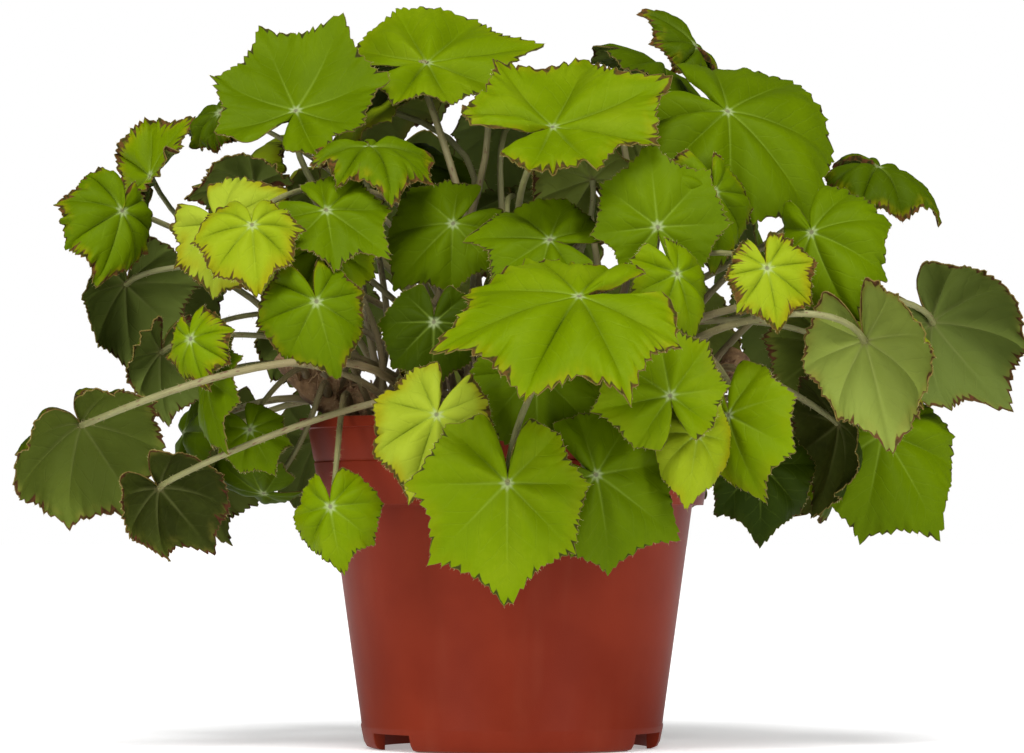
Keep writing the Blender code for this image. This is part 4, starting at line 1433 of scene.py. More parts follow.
@dataclass
class FineLeaf:
    """One leaf in full detail: toothed quilted blade, tapering stalk and hairs.

    Heights are in metres, for a blade of middling length. A field that ends in _from is the share of the way
    to the margin, or of the stalk, from which its feature sets in.
    """

    name: str
    blade: Blade
    stalk: Stalk
    age: AgeAndShade
    edge: Edge
    detail: Detail
    thickness: float = 0.0005
    teeth: int = 66
    teeth_from: float = 0.72
    tooth_depth: tuple = (0.016, 0.056)
    tooth_width: tuple = (0.7, 1.35)
    tooth_peak: float = 0.62
    tooth_middle: float = 0.45
    point_tooth: float = 0.5
    point_reach: float = 0.25
    shoulder_turn: tuple = (2.0, 0.6)
    shoulder_tooth: float = 0.25
    burns: tuple = (0.0, 0.0, 0.25, 0.6, 1.0)
    lobes_from: float = 0.45
    lobe_points: tuple = (0.0, 0.11)
    point_width: float = 0.13
    bays: tuple = (0.0, 0.11)
    bay_width: float = 0.3
    quilt: float = 0.0032
    quilt_middle: float = 0.5
    quilt_full: float = 0.5
    evenness: tuple = (0.35, 1.5)
    swell_gain: tuple = (0.7, 1.2)
    valleys: tuple = (1.3, 0.55)
    rim_from: float = 0.7
    rim_ease: float = 0.3
    pucker: float = 0.00035
    pucker_pitch: float = 0.0075
    pucker_slant: float = 1.1
    pucker_shares: tuple = (0.2, 0.3)
    curl: float = 0.55
    ruffle: float = 0.0017
    frill_gain: tuple = (0.3, 1.9)
    wave_counts: tuple = (6, 9, 14, 22)
    wave_heights: tuple = (0.15, 0.5)
    roll: float = 0.0034
    roll_from: float = 0.78
    roll_swing: tuple = (0.6, 0.7, 3)
    slimness: float = 0.82
    slimming: tuple = (0.55, 0.45, 0.042)
    foot_swell: tuple = (0.35, 0.12)
    head_swell: float = 0.12
    head_from: float = 0.94
    hair_shares: tuple = (0.02, 0.98)
    hair_lean: float = 0.5
    hair_length: tuple = (0.7 * MM, 1.7 * MM)
    rim_hair_lean: float = 0.55
    rim_hair_length: tuple = (0.7 * MM, 1.5 * MM)
    rim_hair_inset: float = 0.1
    rng: random.Random = field(init=False)
    rim: tuple = field(init=False)

    def __post_init__(self) -> None:
        """Seeds the leaf's own draws by its name and place."""
        self.rng = random.Random(f"{self.name} {self.blade.length:.5f} {self.blade.skew:.5f}")

    @property
    def size(self) -> float:
        """How long the blade is beside a middling one."""
        return self.blade.length / MIDDLING_BLADE

    def draws(self, count: int, low: float, high: float) -> np.ndarray:
        """A number of even draws between low and high."""
        return np.array([self.rng.uniform(low, high) for _ in range(count)])

    def margin(self) -> tuple[np.ndarray, np.ndarray, np.ndarray, np.ndarray]:
        """Where the margin's points are.

        Returns:
            Angles from the midrib, from left round to right; the teeth's reach there, as a gain on the
            outline; how deep in the notch between two teeth each is; and how far its tooth curls up.
        """
        points = []
        widths = self.draws(self.teeth, *self.tooth_width)
        ends = math.pi - FULL_TURN * np.cumsum([0, *widths]) / widths.sum()
        burns = [self.rng.choice(self.burns) for _ in range(self.teeth)]
        shoulder, span = self.shoulder_turn
        for k in range(self.teeth):
            start, pitch = ends[k], ends[k] - ends[k + 1]
            middle = start - pitch / 2
            lobe = (middle / HABIT.lobe_pitch + 0.5) % 1 - 0.5
            fade = 1 - (1 - self.shoulder_tooth) * float(smooth(np.array((abs(middle) - shoulder) / span)))
            depth = self.rng.uniform(*self.tooth_depth) * fade
            depth *= 1 + self.point_tooth * (1 - min(1, abs(lobe) / self.point_reach))
            curl = self.rng.uniform(-1, 1)
            for step in self.detail.tooth_steps:
                shape = self.tooth_shape(step, lobe > 0)
                burn = burns[k if step < 0.5 else (k + 1) % self.teeth]
                gain = depth * (shape - self.tooth_middle)
                points.append((start - pitch * step, gain, (1 - shape) * burn, curl * shape))
        points.append((-math.pi, *points[0][1:]))
        return tuple(np.array(points).T)

    def tooth_shape(self, step: float, towards_tip: bool) -> float:
        """How far out a saw tooth is at a step from 0 to 1, steeper on the side nearer the lobe's point."""
        step = step if towards_tip else 1 - step
        return step / self.tooth_peak if step < self.tooth_peak else (1 - step) / (1 - self.tooth_peak)

    def build_blade(self) -> bpy.types.Object:
        """Builds the blade as a sheet with a thickness.

        Returns:
            The blade, with its veins' grooves, its quilting and its ruffled margin.
        """
        angle, gain, notch, curl = self.margin()
        shares = np.array(self.detail.shares)
        grid, column, row = new_grid(self.name, len(angle) - 1, len(shares) - 1)
        turn, share = angle[column], shares[row]
        outward = beyond(share, self.teeth_from)
        base = self.blade.outline(turn) * (1 + self.unevenness(turn) * beyond(share, self.lobes_from))
        reach = share * base * (1 + gain[column] * outward)
        x, y = reach * np.cos(turn), reach * np.sin(turn)
        wave = self.waves(turn)
        lift = self.relief(turn, share, reach) + self.frill() * outward * (self.curl * curl[column] + wave)
        mean, swing, rate = self.roll_swing
        rolled = beyond(share, self.roll_from) * (mean + swing * np.sin(rate * wave))
        lift -= self.roll * self.edge.value**2 * self.size * rolled
        places = self.blade.surface(x, y) + lift[:, None] * self.blade.upward(x, y)
        self.rim = places[share == shares[-1]], places[share == shares[-2]]
        moved_to(grid, places)
        mapped(grid, turn / FULL_TURN + 0.5, share)
        carries(grid, "reach_mm", reach * self.blade.length / MM)
        carries(grid, "rim_mm", (1 - share) * base * self.blade.length / MM)
        carries(grid, "notch", notch[column])
        carries(grid, "age", self.age.value)
        carries(grid, "edge", self.edge.value)
        return finished(grid, "face", "back", thickness=self.thickness)

    def unevenness(self, turn: np.ndarray) -> np.ndarray:
        """How much further out than its plain outline the margin is, at its lobes and at the bays between.

        Args:
            turn: Angles from the midrib.

        Returns:
            The gains.
        """
        place = turn / HABIT.lobe_pitch
        points = self.draws(LOBES + 1, *self.lobe_points)
        points[[0, LOBES // 2, LOBES]] = 0
        bays = self.draws(LOBES + 1, *self.bays)
        bays[[0, LOBES - 1, LOBES]] = 0
        lobe, bay = np.rint(place), np.floor(place)
        from_point, from_middle = place - lobe, place - bay - 0.5
        pointed = points[lobe.astype(int) + LOBES // 2] * np.exp(-((from_point / self.point_width) ** 2))
        filled = bays[bay.astype(int) + LOBES // 2] * np.exp(-((from_middle / self.bay_width) ** 2))
        return pointed + filled

    def relief(self, turn: np.ndarray, share: np.ndarray, reach: np.ndarray) -> np.ndarray:
        """How far the sheet bulges between its veins and puckers beside them.

        Args:
            turn: Angles from the midrib.
            share: Shares of the way to the margin.
            reach: Distances from the eye, in blade lengths.

        Returns:
            The lifts, in metres.
        """
        between = np.abs(np.sin(math.pi * turn / HABIT.lobe_pitch))
        rim = 1 - self.rim_ease * beyond(share, self.rim_from)
        sector = np.floor(turn / HABIT.lobe_pitch).astype(int) + LOBES // 2
        plain, browned = self.swell_gain
        swell = self.draws(LOBES + 2, *self.evenness)[sector] * (plain + browned * self.edge.value)
        valley = np.interp(self.edge.value, (Edge.CLEAN.value, Edge.SCORCHED.value), self.valleys)
        pillow = swell * between**valley - self.quilt_middle
        bulge = self.quilt * pillow * smooth(share / self.quilt_full) * rim
        beside = np.abs(np.sin(turn - HABIT.lobe_pitch * np.rint(turn / HABIT.lobe_pitch))) * reach
        step = (reach - self.pucker_slant * beside) * self.blade.length / self.pucker_pitch
        start, span = self.pucker_shares
        folds = self.pucker * np.cos(FULL_TURN * step) * between * smooth((share - start) / span)
        return self.size * (bulge + folds)

    def frill(self) -> float:
        """How far the margin waves up and down: more on a leaf with a brown edge."""
        return self.ruffle * (self.frill_gain[0] + self.frill_gain[1] * self.edge.value**2) * self.size

    def waves(self, turn: np.ndarray) -> np.ndarray:
        """An irregular wave round the margin, the same where the round closes.

        Args:
            turn: Angles from the midrib.

        Returns:
            The wave's heights.
        """
        total = np.zeros_like(turn)
        for count in self.wave_counts:
            height = self.rng.uniform(*self.wave_heights)
            total += height * np.cos(count * turn + self.rng.uniform(0, FULL_TURN))
        return total

    def build_stalk(self) -> bpy.types.Object:
        """Builds the stalk.

        Returns:
            A tapering tube whose ends are closed.
        """
        sides, steps = self.detail.stalk_sides, self.detail.stalk_rings
        grid, column, row = new_grid(self.name + "_stalk", sides, steps + 2)
        share = np.clip((np.arange(steps + 3) - 1) / steps, 0, 1)
        centre, across, beside, thick = self.rings(share)
        thick[[0, -1]] = 0
        ring = round_about(FULL_TURN * column / sides, across[row], beside[row])
        moved_to(grid, centre[row] + thick[row][:, None] * ring)
        mapped(grid, column / sides, share[row])
        return finished(grid, "stalk")

    def rings(self, share: np.ndarray) -> tuple[np.ndarray, np.ndarray, np.ndarray, np.ndarray]:
        """The stalk's rings.

        Args:
            share: The shares of its length at which they stand.

        Returns:
            Their centres, two directions across each, and their radii.
        """
        centre, pull = self.stalk.line(share), self.stalk.pull(share)
        across = np.empty_like(centre)
        held = self.blade.tip
        for i in reversed(range(len(share))):
            held = unit(held - np.dot(held, pull[i]) * pull[i])
            across[i] = held
        foot, foot_span = self.foot_swell
        swell = foot * (1 - smooth(share / foot_span)) + self.head_swell * beyond(share, self.head_from)
        thick = HABIT.stalk_radius * (HABIT.root_swell - HABIT.stalk_taper * share + swell)
        least, gain, full_length = self.slimming
        slim = self.slimness * min(1, least + gain * self.blade.length / full_length)
        return centre, across, np.cross(pull, across), thick * slim

    def build_hairs(self) -> bpy.types.Object:
        """Builds the hairs along the stalk and round the margin.

        Returns:
            The hairs, which lean outwards and on.
        """
        count = self.detail.stalk_hairs
        share = np.sort(self.draws(count, *self.hair_shares))
        centre, across, beside, thick = self.rings(share)
        out = round_about(self.draws(count, 0, FULL_TURN), across, beside)
        lean = self.draws(3 * count, -self.hair_lean, self.hair_lean).reshape(count, 3)
        stalk_hairs = (
            centre + (thick[:, None] - HAIR_RADIUS) * out,
            unit(out + lean),
            self.draws(count, *self.hair_length),
        )
        hairs = (np.concatenate(pair) for pair in zip(stalk_hairs, self.margin_hairs()))
        tuft = hair_tuft(self.name + "_hairs", *hairs)
        tuft.data.materials.append(FINISHES["hair"])
        return tuft

    def margin_hairs(self) -> tuple[np.ndarray, np.ndarray, np.ndarray]:
        """Where the hairs of the margin stand.

        Returns:
            Their roots, their ways and their lengths.
        """
        count = self.detail.rim_hairs
        rim, inside = self.rim
        spots = [self.rng.randrange(len(rim)) for _ in range(count)]
        roots = (1 - self.rim_hair_inset) * rim[spots] + self.rim_hair_inset * inside[spots]
        lean = self.draws(3 * count, -self.rim_hair_lean, self.rim_hair_lean).reshape(count, 3)
        ways = unit(unit(rim[spots] - inside[spots]) + lean)
        return roots, ways, self.draws(count, *self.rim_hair_length)

    def build(self) -> list[bpy.types.Object]:
        """The leaf's parts, blade first."""
        return [self.build_blade(), self.build_stalk(), self.build_hairs()]


@dataclass
class Plant:
    """All the leaves, on the stems that they root in."""

    seed: int = 11
    front_sides: int = 6
    shoot_sides: int = 4
    site_reach: tuple = (0.0019, 0.0024)
    shoot_ages: tuple = (AgeAndShade.BRIGHT, AgeAndShade.FULL, AgeAndShade.FULL, AgeAndShade.OLD, AgeAndShade.YOUNG)
    shoot_edges: tuple = (Edge.FLECKED, Edge.BROWN, Edge.CLEAN)
    shoots: Shoots = field(default_factory=Shoots)
    leaves: list[FineLeaf] = field(default_factory=list)

    def read(self) -> None:
        """Seats every blade where its node has it, and fits its stalk."""
        rng = random.Random(self.seed)
        front = [
            (f"leaf_{region}_{i + 1:02d}", leaf.blade(rng), leaf)
            for region, leaves in LEAVES.items()
            for i, leaf in enumerate(leaves)
        ]
        behind = self.shoots.blades(rng)
        sites = [site for stem in STEMS for site in stem.sites()]
        packed = {
            name: np.unique((points_of(node) - AXIS).round(6), axis=0)
            for name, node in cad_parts.items()
        }
        for name, blade, leaf in front:
            blade.seat(packed[name], self.front_sides)
            stalk = Stalk.fitted(blade, self.roots_near(sites, packed[name]), packed[name])
            self.leaves.append(FineLeaf(name, blade, stalk, leaf.age, leaf.edge, NEAR))
        tones = random.Random(self.seed + 1)
        for name, blade in behind:
            blade.seat(packed[name], self.shoot_sides)
            stalk = Stalk.fitted(blade, [self.shoots.root(name, blade)], packed[name])
            age, edge = tones.choice(self.shoot_ages), tones.choice(self.shoot_edges)
            self.leaves.append(FineLeaf(name, blade, stalk, age, edge, FAR))

    def roots_near(self, sites: list, packed: np.ndarray) -> list:
        """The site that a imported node's lowest ring stands round.

        Args:
            sites: The places and ways out of all the sites.
            packed: The node's points.

        Returns:
            A list with that site.
        """
        low, high = self.site_reach

        def on_ring(site: tuple) -> int:
            """How many of the node's points lie a stalk's radius from a site."""
            away = np.linalg.norm(packed - site[0], axis=1)
            return int(((away > low) & (away < high)).sum())

        return [max(sites, key=on_ring)]

    def build(self) -> None:
        """Builds every leaf as a piece of its own, and each shoot's leaves as one piece."""
        groups: dict[str, list[FineLeaf]] = {}
        for leaf in self.leaves:
            groups.setdefault(leaf.name, []).append(leaf)
        for node, members in groups.items():
            parts = [part for leaf in members for part in leaf.build()]
            if node.startswith("shoot"):
                parts.append(self.build_stub(node))
            placed(joined("fine_" + node, parts), [node])

    def build_stub(self, node: str) -> bpy.types.Object:
        """The short upright stem that a shoot's stalks share.

        Args:
            node: The shoot's node.

        Returns:
            The stub.
        """
        shoots = self.shoots
        foot = shoots.foot(node)
        add = bpy.ops.mesh.primitive_uv_sphere_add
        stub = added(node + "_stub", add, segments=20, ring_count=14, radius=1)
        points = points_of(stub)
        depth, rings, ribs = shoots.knobs
        turn = np.arctan2(points[:, 1], points[:, 0])
        knobs = 1 + depth * np.sin(rings * points[:, 2]) * np.cos(ribs * turn)
        points = points * np.stack([knobs, knobs, np.ones_like(knobs)], axis=1)
        rise = (shoots.stub_height + shoots.stub_sink) / 2
        centre = np.array([foot.x, foot.y, shoots.foot_z + shoots.stub_height - rise])
        moved_to(stub, centre + points * np.array([shoots.stub_radius, shoots.stub_radius, rise]))
        stub.data.materials.append(FINISHES["stem"])
        smoothed(stub)
        return stub


@dataclass
class CreepingStems:
    """The two rhizomes with their ring scars, and the papery scales round the stalks' roots."""

    sides: int = 24
    steps: int = 120
    scar_pitch: float = 0.0048
    scar_depth: float = 0.0005
    scar_sharpness: float = 0.5
    knob: float = 0.0003
    lumps: tuple = ((0.03, 3, 260), (0.02, 5, -170))
    scales_each: int = 3
    scale_grid: tuple = (6, 8)
    scale_length: tuple = (0.007, 0.013)
    scale_width: tuple = (0.0028, 0.0048)
    scale_outline: tuple = (0.18, 0.82, 0.8)
    scale_lean: float = 0.3
    scale_sink: float = 0.002
    scale_curl: tuple = (0.0022, 0.0018)
    scale_tip_curl: tuple = (0.002, 0.006)
    scale_cup: float = 0.35
    crinkle: tuple = (0.0004, 9, 14)
    scale_thickness: float = 0.0003
    seed: int = 5

    def build(self, leaves: list[FineLeaf]) -> None:
        """Builds both stems and their scales.

        Args:
            leaves: All the leaves, for where their stalks root.
        """
        rng = random.Random(self.seed)
        for stem in STEMS:
            placed(self.build_stem(stem, rng), [stem.name])
            roots = [leaf.stalk for leaf in leaves if self.is_on(stem, leaf)]
            if roots:
                scales = [self.build_scale(stalk, rng) for stalk in roots for _ in range(self.scales_each)]
                placed(joined("papery_scales_" + stem.name.removeprefix("rhizome_"), scales), [])

    @staticmethod
    def is_on(stem: Stem, leaf: FineLeaf) -> bool:
        """Whether a leaf roots on a stem."""
        return any(np.linalg.norm(leaf.stalk.root - place) < SAME_POINT for place, _ in stem.sites())

    def build_stem(self, stem: Stem, rng: random.Random) -> bpy.types.Object:
        """A knobbly stem with the scars of old leaves round it.

        Args:
            stem: Its line and sizes.
            rng: The draws.

        Returns:
            The stem.
        """
        grid, column, row = new_grid("creeping_" + stem.name, self.sides, self.steps + 2)
        shares = np.clip((np.arange(self.steps + 3) - 1) / self.steps, 0, 1) * 2 - 1
        middle = np.array([stem.middle(share) for share in shares])
        _, side, up = (np.array(ways) for ways in zip(*(stem.across(share) for share in shares)))
        along = shares * stem.half_span
        scars = np.abs(np.sin(math.pi * along / self.scar_pitch)) ** self.scar_sharpness
        knobs = np.array([rng.uniform(-1, 1) for _ in shares]) * self.knob
        thick = np.array([stem.thick(share) for share in shares]) - self.scar_depth * (1 - scars) + knobs
        thick[[0, -1]] = 0
        turn = FULL_TURN * column / self.sides
        lumps = 1 + sum(height * np.sin(n * turn + rate * along[row]) for height, n, rate in self.lumps)
        ring = round_about(turn, side[row], -up[row])
        moved_to(grid, middle[row] + (thick[row] * lumps)[:, None] * ring)
        grid.data.materials.append(FINISHES["stem"])
        welded(grid)
        turned_out(grid)
        smoothed(grid)
        return grid

    def build_scale(self, stalk: Stalk, rng: random.Random) -> bpy.types.Object:
        """A dry pointed scale that clasps a stalk's root.

        Args:
            stalk: The stalk.
            rng: The draws.

        Returns:
            The scale.
        """
        columns, rows = self.scale_grid
        grid, column, row = new_grid("papery_scale", columns, rows)
        length, width = rng.uniform(*self.scale_length), rng.uniform(*self.scale_width)
        share, side = row / rows, 2 * column / columns - 1
        around = rng.uniform(0, FULL_TURN)
        across = unit(np.cross(stalk.way, np.array([math.cos(around), math.sin(around), self.scale_lean])))
        out = np.cross(across, stalk.way)
        start, span, fullness = self.scale_outline
        wide = width * np.sin(math.pi * (start + span * share)) ** fullness * (1 - share**3)
        foot_curl, curl = self.scale_curl
        curled = foot_curl + curl * share + rng.uniform(*self.scale_tip_curl) * share**2
        crease, over, up = self.crinkle
        crinkled = crease * np.sin(over * side + up * share + around)
        lift = curled - self.scale_cup * wide * side**2 + crinkled
        foot = stalk.root - stalk.way * self.scale_sink
        rise = share[:, None] * stalk.way * length
        moved_to(grid, foot + rise + (wide * side)[:, None] * across + lift[:, None] * out)
        return finished(grid, "paper", thickness=self.scale_thickness)


@dataclass
class NurseryPot:
    """The moulded plastic pot: rolled lip, wider band with a groove, tapering wall, notched foot.

    Steps and eases are how far the outline goes up or down, and in or out, at a small feature.
    """

    height: float = 0.139
    lip_radius: float = 0.090
    lip_height: float = 0.0042
    lip_ease: tuple = (0.0004, 0.0003)
    band_top: float = 0.0866
    band_foot: float = 0.0811
    band_foot_z: float = 0.1027
    groove_z: float = 0.1212
    groove_depth: float = 0.00035
    groove_steps: tuple = (0.0008, 0.0003)
    band_ease: tuple = (0.0006, 0.0012)
    wall_top: float = 0.0762
    wall_foot: float = 0.0624
    foot_rounding: float = 0.003
    foot_ring_z: float = 0.0096
    ring_steps: tuple = (0.0010, 0.0002, -0.0006)
    ring_height: float = 0.0004
    sole_ease: tuple = (0.0004, 0.0008)
    wall: float = 0.0016
    floor_z: float = 0.0100
    sides: int = 144
    notch_count: int = 3
    notch_turn: float = math.radians(-54)
    notch_size: tuple = (0.026, 0.0128, 0.0102)
    notch_inset: float = 0.0032
    drain_count: int = 6
    drain_radius: float = 0.0045
    drain_circle: float = 0.042
    drain_sides: int = 24
    bevel: float = 0.0005
    bevel_segments: int = 3
    bevel_angle: float = math.radians(40)
    smooth_angle: float = math.radians(35)

    def outer(self, z: float) -> float:
        """The outside radius.

        Args:
            z: The height.

        Returns:
            The wall's or the band's radius there.
        """
        if z < self.band_foot_z:
            return self.wall_foot + z / self.band_foot_z * (self.wall_top - self.wall_foot)
        share = (z - self.band_foot_z) / (self.height - self.band_foot_z)
        return self.band_foot + share * (self.band_top - self.band_foot)

    def inside(self) -> list[tuple[float, float]]:
        """The inside of the outline.

        Returns:
            Radii and heights, from the floor up to the top.
        """
        step = self.band_foot_z + self.wall
        floor = self.outer(self.floor_z) - self.wall
        return [
            (floor - self.foot_rounding, self.floor_z),
            (floor, self.floor_z + self.foot_rounding),
            (self.wall_top - self.wall, step),
            (self.outer(step) - self.wall, step),
            (self.outer(self.height) - self.wall, self.height),
        ]

    def outside(self) -> list[tuple[float, float]]:
        """The outside of the outline.

        Returns:
            Radii and heights, from the lip down to the hollow under the floor.
        """
        lip_foot, (lip_out, lip_down) = self.height - self.lip_height, self.lip_ease
        lip = [
            (self.lip_radius, self.height),
            (self.lip_radius, lip_foot),
            (self.outer(lip_foot) + lip_out, lip_foot - lip_down),
        ]
        edge, bed = self.groove_steps
        groove = [
            (self.outer(self.groove_z + step) - depth, self.groove_z + step)
            for step, depth in ((edge, 0), (bed, self.groove_depth), (-bed, self.groove_depth), (-edge, 0))
        ]
        band_out, band_down = self.band_ease
        band = [
            (self.band_foot, self.band_foot_z),
            (self.wall_top + band_out, self.band_foot_z),
            (self.wall_top, self.band_foot_z - band_down),
        ]
        ring = [
            (self.outer(self.foot_ring_z + step) + height, self.foot_ring_z + step)
            for step, height in zip(self.ring_steps, (0, self.ring_height, self.ring_height))
        ]
        sole_out, sole_in = self.sole_ease
        foot_edge = self.wall_foot - self.foot_rounding
        sole = [
            (self.wall_foot + sole_out, self.foot_rounding),
            (self.wall_foot - sole_in, sole_in),
            (foot_edge, 0),
            (foot_edge - self.wall, 0),
            (foot_edge - self.wall, self.floor_z - self.wall),
        ]
        return lip + groove + band + ring + sole

    def build(self) -> None:
        """Turns the outline, cuts the foot's notches and the drain holes, and rounds the edges."""
        outline = self.inside() + self.outside()
        radius, z = outline[0]
        add = bpy.ops.mesh.primitive_circle_add
        place = (0, 0, z)
        pot = added("nursery_pot", add, vertices=self.sides, radius=radius, fill_type="NGON", location=place)
        pot.data.name = "nursery_pot"
        bpy.ops.object.transform_apply(location=True, rotation=False, scale=False)
        bpy.ops.object.mode_set(mode="EDIT")
        bpy.ops.mesh.select_all(action="DESELECT")
        bpy.ops.mesh.select_mode(type="EDGE")
        bpy.ops.mesh.select_non_manifold()
        for (radius, z), (next_radius, next_z) in zip(outline, outline[1:]):
            bpy.ops.mesh.extrude_edges_move(TRANSFORM_OT_translate={"value": (0, 0, next_z - z)})
            scale = next_radius / radius
            bpy.ops.transform.resize(value=(scale, scale, 1))
        bpy.ops.mesh.edge_face_add()
        bpy.ops.object.mode_set(mode="OBJECT")
        turned_out(pot)
        for cutter in self.notches() + self.drains():
            modified(pot, "BOOLEAN", operation="DIFFERENCE", object=cutter)
            bpy.data.objects.remove(cutter)
        modified(pot, "BEVEL", width=self.bevel, segments=self.bevel_segments, angle_limit=self.bevel_angle)
        pot.data.materials.append(FINISHES["pot"])
        smoothed(pot, self.smooth_angle)
        placed(pot, ["pot"])

    def notches(self) -> list[bpy.types.Object]:
        """Cuts for the foot's notches.

        Returns:
            A block across the foot at each notch.
        """
        made = []
        add = bpy.ops.mesh.primitive_cube_add
        for i in range(self.notch_count):
            turn = self.notch_turn + FULL_TURN * i / self.notch_count
            reach = self.wall_foot - self.notch_inset + self.wall
            place = facing(turn, 0) * reach + Vector((0, 0, self.notch_size[2] / 2 - 2 * self.wall))
            turned = (0, 0, turn)
            made.append(added("notch", add, size=1, location=place, rotation=turned, scale=self.notch_size))
        return made

    def drains(self) -> list[bpy.types.Object]:
        """Cuts for the drain holes.

        Returns:
            A rod through the floor at each hole.
        """
        made = []
        sizes = {"vertices": self.drain_sides, "radius": self.drain_radius, "depth": 6 * self.wall}
        for i in range(self.drain_count):
            turn = FULL_TURN * i / self.drain_count
            place = (self.drain_circle * math.cos(turn), self.drain_circle * math.sin(turn), self.floor_z)
            made.append(added("drain", bpy.ops.mesh.primitive_cylinder_add, location=place, **sizes))
        return made


@dataclass
class PottingMix:
    """The mix that fills the pot, with loose crumbs and bits of bark on it."""

    edge_z: float = 0.125
    mound: float = 0.003
    wall: float = 0.0022
    depth: float = 0.014
    sides: int = 96
    rings: int = 34
    waves: int = 24
    wave_rates: tuple = (90, 700)
    wave_fade: float = 150
    wave_height: float = 0.0009
    level_from: float = 0.93
    crumbs: int = 260
    crumb_size: tuple = (0.0010, 0.0032)
    crumb_lumps: tuple = (0.7, 1.2)
    crumb_sides: tuple = (1.3, 0.8)
    crumb_flatness: tuple = (0.45, 0.8, 1.0)
    crumb_reach: float = 0.92
    crumb_seat: float = 0.8
    seed: int = 8

    def radius(self, z: float) -> float:
        """The mix's radius at a height, just inside the pot."""
        return NurseryPot().outer(z) - self.wall

    def build(self) -> None:
        """Builds the bed and its crumbs as one piece."""
        bed = self.build_bed()
        rng = random.Random(self.seed)
        crumbs = [self.build_crumb(rng) for _ in range(self.crumbs)]
        placed(joined("potting_mix_bed", [bed, *crumbs]), ["soil"])

    def build_bed(self) -> bpy.types.Object:
        """Builds the bed.

        Returns:
            An uneven top, a side that goes down behind the pot's band, and a flat bottom.
        """
        grid, column, row = new_grid("potting_mix", self.sides, self.rings + 2)
        share = np.clip(row / self.rings, 0, 1)
        turn = -FULL_TURN * column / self.sides
        radius = share * self.radius(self.edge_z)
        x, y = radius * np.cos(turn), radius * np.sin(turn)
        loose = 1 - beyond(share, self.level_from)
        z = self.edge_z + self.mound * (1 - share**2) + self.lumps(x, y) * loose
        low_z = self.edge_z - self.depth
        z = np.where(row > self.rings, low_z, z)
        radius = np.where(row > self.rings, self.radius(low_z), radius)
        radius = np.where(row == self.rings + 2, 0, radius)
        moved_to(grid, np.stack([radius * np.cos(turn), radius * np.sin(turn), z], axis=1))
        return finished(grid, "mix")

    def lumps(self, x: np.ndarray, y: np.ndarray) -> np.ndarray:
        """How high the mix's top lies over its mound, as waves of many lengths and ways.

        Args:
            x: Places on the bed.
            y: The same, from front to back.

        Returns:
            The heights there.
        """
        draws = random.Random(self.seed + 1)
        total = np.zeros(len(x))
        for _ in range(self.waves):
            way, rate = draws.uniform(0, FULL_TURN), draws.uniform(*self.wave_rates)
            along = x * math.cos(way) + y * math.sin(way)
            total += np.sin(rate * along + draws.uniform(0, 6)) / (1 + rate / self.wave_fade)
        return self.wave_height * total

    def build_crumb(self, rng: random.Random) -> bpy.types.Object:
        """One crumb, a lumpy pebble or a flat bit of bark.

        Args:
            rng: The draws.

        Returns:
            The crumb.
        """
        crumb = added("crumb", bpy.ops.mesh.primitive_ico_sphere_add, subdivisions=1, radius=1)
        crumb.data.uv_layers.active.name = "UVMap"
        points = points_of(crumb)
        points *= np.array([[rng.uniform(*self.crumb_lumps)] for _ in points])
        size = rng.uniform(*self.crumb_size)
        shape = np.array([*self.crumb_sides, rng.choice(self.crumb_flatness)])
        turn = rng.uniform(0, FULL_TURN)
        cos, sin = math.cos(turn), math.sin(turn)
        out = math.sqrt(rng.random()) * self.crumb_reach * self.radius(self.edge_z)
        place = np.array([out * cos, out * sin, self.edge_z + self.mound * self.crumb_seat])
        spin = np.array([[cos, -sin, 0], [sin, cos, 0], [0, 0, 1]])
        moved_to(crumb, place + size * (points * shape) @ spin)
        crumb.data.materials.append(FINISHES["mix"])
        return crumb


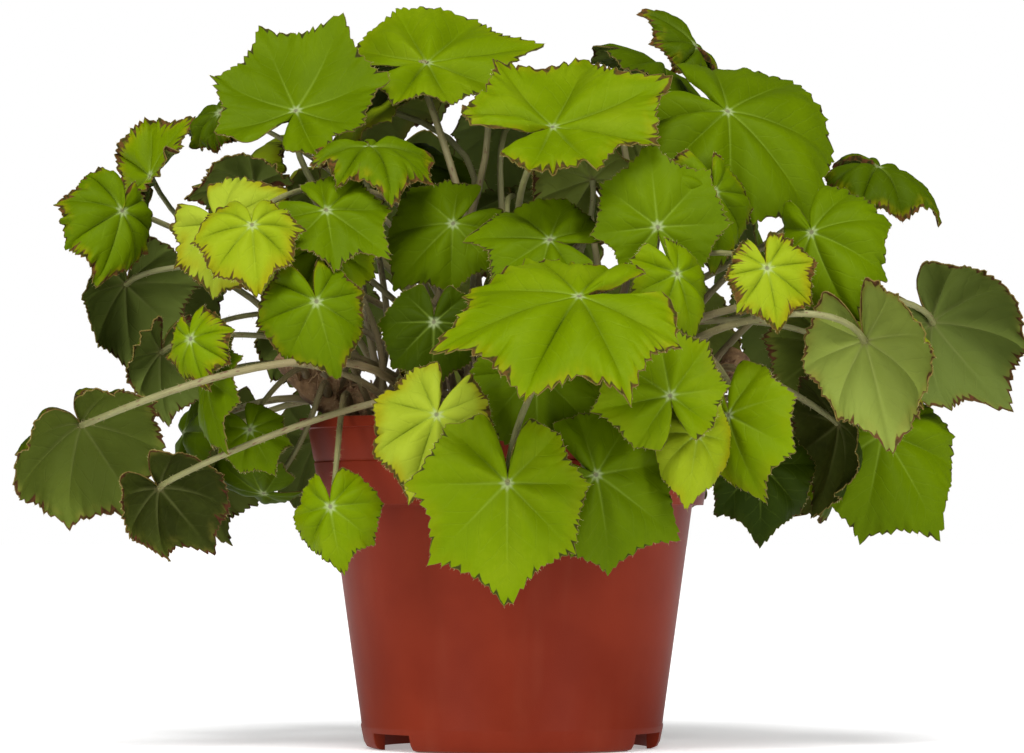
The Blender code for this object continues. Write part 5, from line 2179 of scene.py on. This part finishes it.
@dataclass
class Studio:
    """Pale floor, tall soft lamps on both sides of the front, and the camera at the photograph's angle."""

    floor_size: float = 60.0
    floor_z: float = -0.0002
    air: tuple = (1.0, 1.0, 1.0, 1.0)
    seen_strength: float = 1.0
    light_strength: float = 0.12
    overhead_power: float = 3.0
    overhead_z: float = 3.0
    overhead_tilt: float = math.radians(38)
    overhead_softness: float = math.radians(28)
    lamp_turn: float = math.radians(38)
    lamp_reach: float = 1.9
    lamp_z: float = 0.75
    lamp_aim_z: float = 0.16
    lamp_size: tuple = (0.3, 1.5)
    lamp_power: float = 19.0

    def build(self) -> None:
        """Builds the floor, the lights and the camera."""
        add = bpy.ops.mesh.primitive_plane_add
        floor = added("studio_floor", add, size=self.floor_size, location=(0, 0, self.floor_z))
        floor.data.materials.append(FINISHES["floor"])
        place, tilt = (0, 0, self.overhead_z), (self.overhead_tilt, 0, 0)
        overhead = added("lamp_overhead", bpy.ops.object.light_add, type="SUN", location=place, rotation=tilt)
        overhead.data.energy = self.overhead_power
        overhead.data.angle = self.overhead_softness
        for side, name in ((-1, "lamp_left"), (1, "lamp_right")):
            out = facing(side * self.lamp_turn, 0) * self.lamp_reach
            self.softbox(name, out + Vector((*AXIS[:2], self.lamp_z)))
        self.fill_with_air()
        bpy.context.scene.view_settings.view_transform = "Standard"
        self.camera()

    def fill_with_air(self) -> None:
        """White surroundings, which light the plant less than they show."""
        world = bpy.data.worlds.new("studio_air")
        world.use_nodes = True
        tree = world.node_tree
        air = tree.nodes["Background"]
        air.inputs["Color"].default_value = self.air
        path = tree.nodes.new("ShaderNodeLightPath")
        strength = tree.nodes.new("ShaderNodeMapRange")
        strength.inputs["To Min"].default_value = self.light_strength
        strength.inputs["To Max"].default_value = self.seen_strength
        tree.links.new(path.outputs["Is Camera Ray"], strength.inputs["Value"])
        tree.links.new(strength.outputs["Result"], air.inputs["Strength"])
        bpy.context.scene.world = world

    def softbox(self, name: str, place: Vector) -> None:
        """A tall soft lamp that faces the plant.

        Args:
            name: Its name.
            place: Where it stands.
        """
        lamp = added(name, bpy.ops.object.light_add, type="AREA", location=place)
        lamp.data.shape = "RECTANGLE"
        lamp.data.size, lamp.data.size_y = self.lamp_size
        lamp.data.energy = self.lamp_power
        aim = Vector((*AXIS[:2], self.lamp_aim_z)) - place
        lamp.rotation_euler = aim.to_track_quat("-Z", "Y").to_euler()

    @staticmethod
    def camera() -> None:
        """The camera: level, and shifted up to frame the plant."""
        place = (AXIS[0], AXIS[1] - VIEW_DISTANCE, VIEW_HEIGHT)
        level = (math.radians(90), 0, 0)
        camera = added("front_camera", bpy.ops.object.camera_add, location=place, rotation=level)
        camera.data.lens = LENS
        camera.data.sensor_width = SENSOR_WIDTH
        camera.data.shift_y = (FRAME_MIDDLE - VIEW_HEIGHT) / FRAME_WIDTH
        bpy.context.scene.camera = camera


FINISHES: dict[str, bpy.types.Material] = {}


def mix_finishes() -> None:
    """Mixes every finish once."""
    recipes = {
        "face": LeafFinish(),
        "back": UnderleafFinish(),
        "stalk": StalkFinish(),
        "hair": HairFinish(),
        "stem": StemFinish(),
        "paper": StemFinish("papery_scale", paint(186, 152, 108), paint(128, 90, 58), 300.0),
        "mix": SoilFinish(),
        "pot": PotFinish(),
        "floor": FloorFinish(),
    }
    for name, recipe in recipes.items():
        FINISHES[name] = recipe.mix()


def write_sizes() -> None:
    """Brings the view layer up to date."""
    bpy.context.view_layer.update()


def main() -> None:
    """Builds the studio, the pot, the mix, the leaves and the stems."""
    logging.basicConfig(level=logging.INFO, format="%(message)s")
    mix_finishes()
    Studio().build()
    NurseryPot().build()
    PottingMix().build()
    plant = Plant()
    plant.read()
    plant.build()
    CreepingStems().build(plant.leaves)
    write_sizes()


if __name__ == "__main__":
    main()
